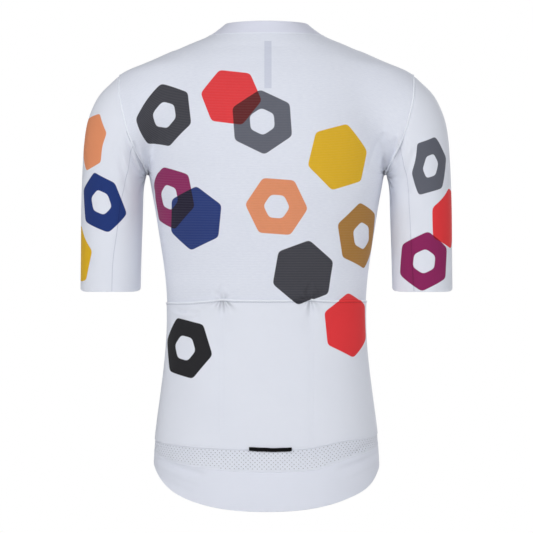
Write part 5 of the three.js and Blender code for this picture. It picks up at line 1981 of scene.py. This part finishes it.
@dataclass
class Trim:
    """The reflective tab on the pocket seam and the strip inside the back neck."""

    cloths: Cloths
    finishes: Finishes
    thick: float = 0.7

    def patch(self, left: float, right: float, low: float, high: float, bow: float, lift: float) -> Surface:
        """A small grid on the back's cloth between two x and two heights.

        Args:
            left: x of its left.
            right: x of its right.
            low: Height.
            high: Height.
            bow: How far its ends hang.
            lift: Off the cloth.

        Returns:
            The grid.
        """
        x = np.linspace(left, right, 42)
        z = np.linspace(low, high, 7 if high - low < 20 else 36)
        gx, gz = np.meshgrid(x, z)
        sag = bow * (1 - ((gx - (left + right) / 2) / ((left - right) / 2)) ** 2)
        start = np.stack([gx, 0 * gx, gz - sag], -1)
        points = self.cloths.form.cast(start, np.broadcast_to([0.0, 1, 0], start.shape))
        surface = self.cloths.lie(points, np.stack([gx, gz], -1))
        return surface.raised(lift)

    def build(self) -> None:
        """Makes both pieces."""
        tab = self.patch(24, -34.7, -585.2, -580.4, 0.7, 2 * SEAM_GAP + 1.2 + 0.7)
        ripple = 0.35 * np.sin(tab.points[..., 0] / 7.5) + 0.2 * np.sin(tab.points[..., 0] / 3.1 + 1.2)
        tab.points[..., 2] += ripple * 0.6 + 0.012 * tab.points[..., 0]
        obj = grid_mesh("reflective_tab", tab, self.thick)
        dress(obj, "reflective", self.finishes.film, self.finishes.film)
        declare(obj, tab, "rear_tab")
        strip = self.patch(3, -7, -80, -4.6, 0.0, -1.5)
        obj = grid_mesh("inner_neck_strip", strip, self.thick)
        dress(obj, "knit_smooth", self.finishes.inside, self.finishes.inside)
        declare(obj, strip, "neck_strip")


@dataclass
class Studio:
    """Soft white studio: camera level with the garment's middle, wide lights, pale floor."""

    distance: float = 3.5
    height: float = -0.3293
    seen: float = 0.7622  # width of the picture at the garment
    sky: float = 0.21
    floor_z: float = -1.3
    floor_half: float = 3.6
    aim: tuple[float, float, float] = (0.0, 0.0, -0.33)
    # name, place in metres, size and power in watts
    lights: tuple[tuple[str, tuple[float, float, float], float, float], ...] = (
        ("key", (2.6, 2.2, 0.8), 1.5, 34.0),
        ("fill", (-2.8, 1.6, 0.1), 1.6, 20.0),
        ("near_camera", (0.2, 3.1, 1.3), 1.1, 46.0),
        ("top", (0.3, 0.6, 2.4), 1.6, 3.0),
        ("front", (-1.2, -3.2, 0.8), 2.4, 75.0),
    )

    def build(self) -> None:
        """Sets up camera, lights, world and floor."""
        camera = bpy.data.objects.new("camera", bpy.data.cameras.new("camera"))
        bpy.context.scene.collection.objects.link(camera)
        camera.location = (0.0, self.distance, self.height)
        camera.rotation_euler = (math.pi / 2, 0.0, math.pi)
        camera.data.sensor_width = 36.0
        camera.data.lens = 36.0 * self.distance / self.seen
        camera.data.clip_end = 50.0
        bpy.context.scene.camera = camera
        bpy.context.scene.view_settings.view_transform = "Standard"
        for name, place, size, power in self.lights:
            self.light(name, place, size, power)
        self.world()
        mesh = bpy.data.meshes.new("floor")
        size = self.floor_half
        corners = [(-size, -size), (size, -size), (size, size), (-size, size)]
        mesh.from_pydata([(x, y, self.floor_z) for x, y in corners], [], [(0, 1, 2, 3)])
        floor = link("floor", mesh)
        # Off-white and matt, so that it fades into the surround
        pale = PlainFinish("pale studio floor", "f6f6f6", 0.8, grain=3.0, mottle=0.01).make()
        floor.data.materials.append(pale)

    def light(self, name: str, place: tuple[float, float, float], size: float, power: float) -> None:
        """A square soft light that faces the garment's middle."""
        data = bpy.data.lights.new(name, "AREA")
        data.size = size
        data.energy = power
        lamp = bpy.data.objects.new(name, data)
        bpy.context.scene.collection.objects.link(lamp)
        lamp.location = place
        aim = np.array(self.aim) - np.array(place)
        yaw = math.atan2(aim[0], -aim[1])
        pitch = math.atan2(math.hypot(aim[0], aim[1]), -aim[2])
        lamp.rotation_euler = (pitch, 0.0, yaw + math.pi)

    def world(self) -> None:
        """An even white surround: full white behind the garment, softer as light."""
        world = bpy.data.worlds.new("surround")
        bpy.context.scene.world = world
        world.use_nodes = True
        tree = world.node_tree
        tree.nodes.clear()
        seen = add_node(tree, "ShaderNodeLightPath").outputs["Is Camera Ray"]
        soft = add_node(tree, "ShaderNodeBackground", None, {"Color": (0.96, 0.975, 1.0, 1.0), "Strength": self.sky})
        plain = add_node(tree, "ShaderNodeBackground", None, {"Color": (1.0, 1.0, 1.0, 1.0), "Strength": 1.0})
        both = add_node(tree, "ShaderNodeMixShader", None, {0: seen, 1: soft.outputs[0], 2: plain.outputs[0]})
        add_node(tree, "ShaderNodeOutputWorld", None, {0: both.outputs[0]})


def main() -> None:
    """Builds the garment and its studio, piece by piece."""
    logging.basicConfig(level=logging.INFO, format="%(message)s")
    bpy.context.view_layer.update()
    Studio().build()
    finishes = Finishes()
    pattern = Pattern(GarmentForm())
    cloths = Cloths(pattern, finishes)
    cloths.back()
    cloths.pocket()
    cloths.mesh_band()
    cloths.tail()
    for name in ("left", "right"):
        cloths.front(name)
        cloths.sleeve(name)
    cloths.collar()
    sewing = Sewing(cloths, finishes)
    sewing.sleeves()
    sewing.body()
    sewing.pockets()
    Trim(cloths, finishes).build()
    ZipFastener(cloths, finishes).build()


if __name__ == "__main__":
    main()
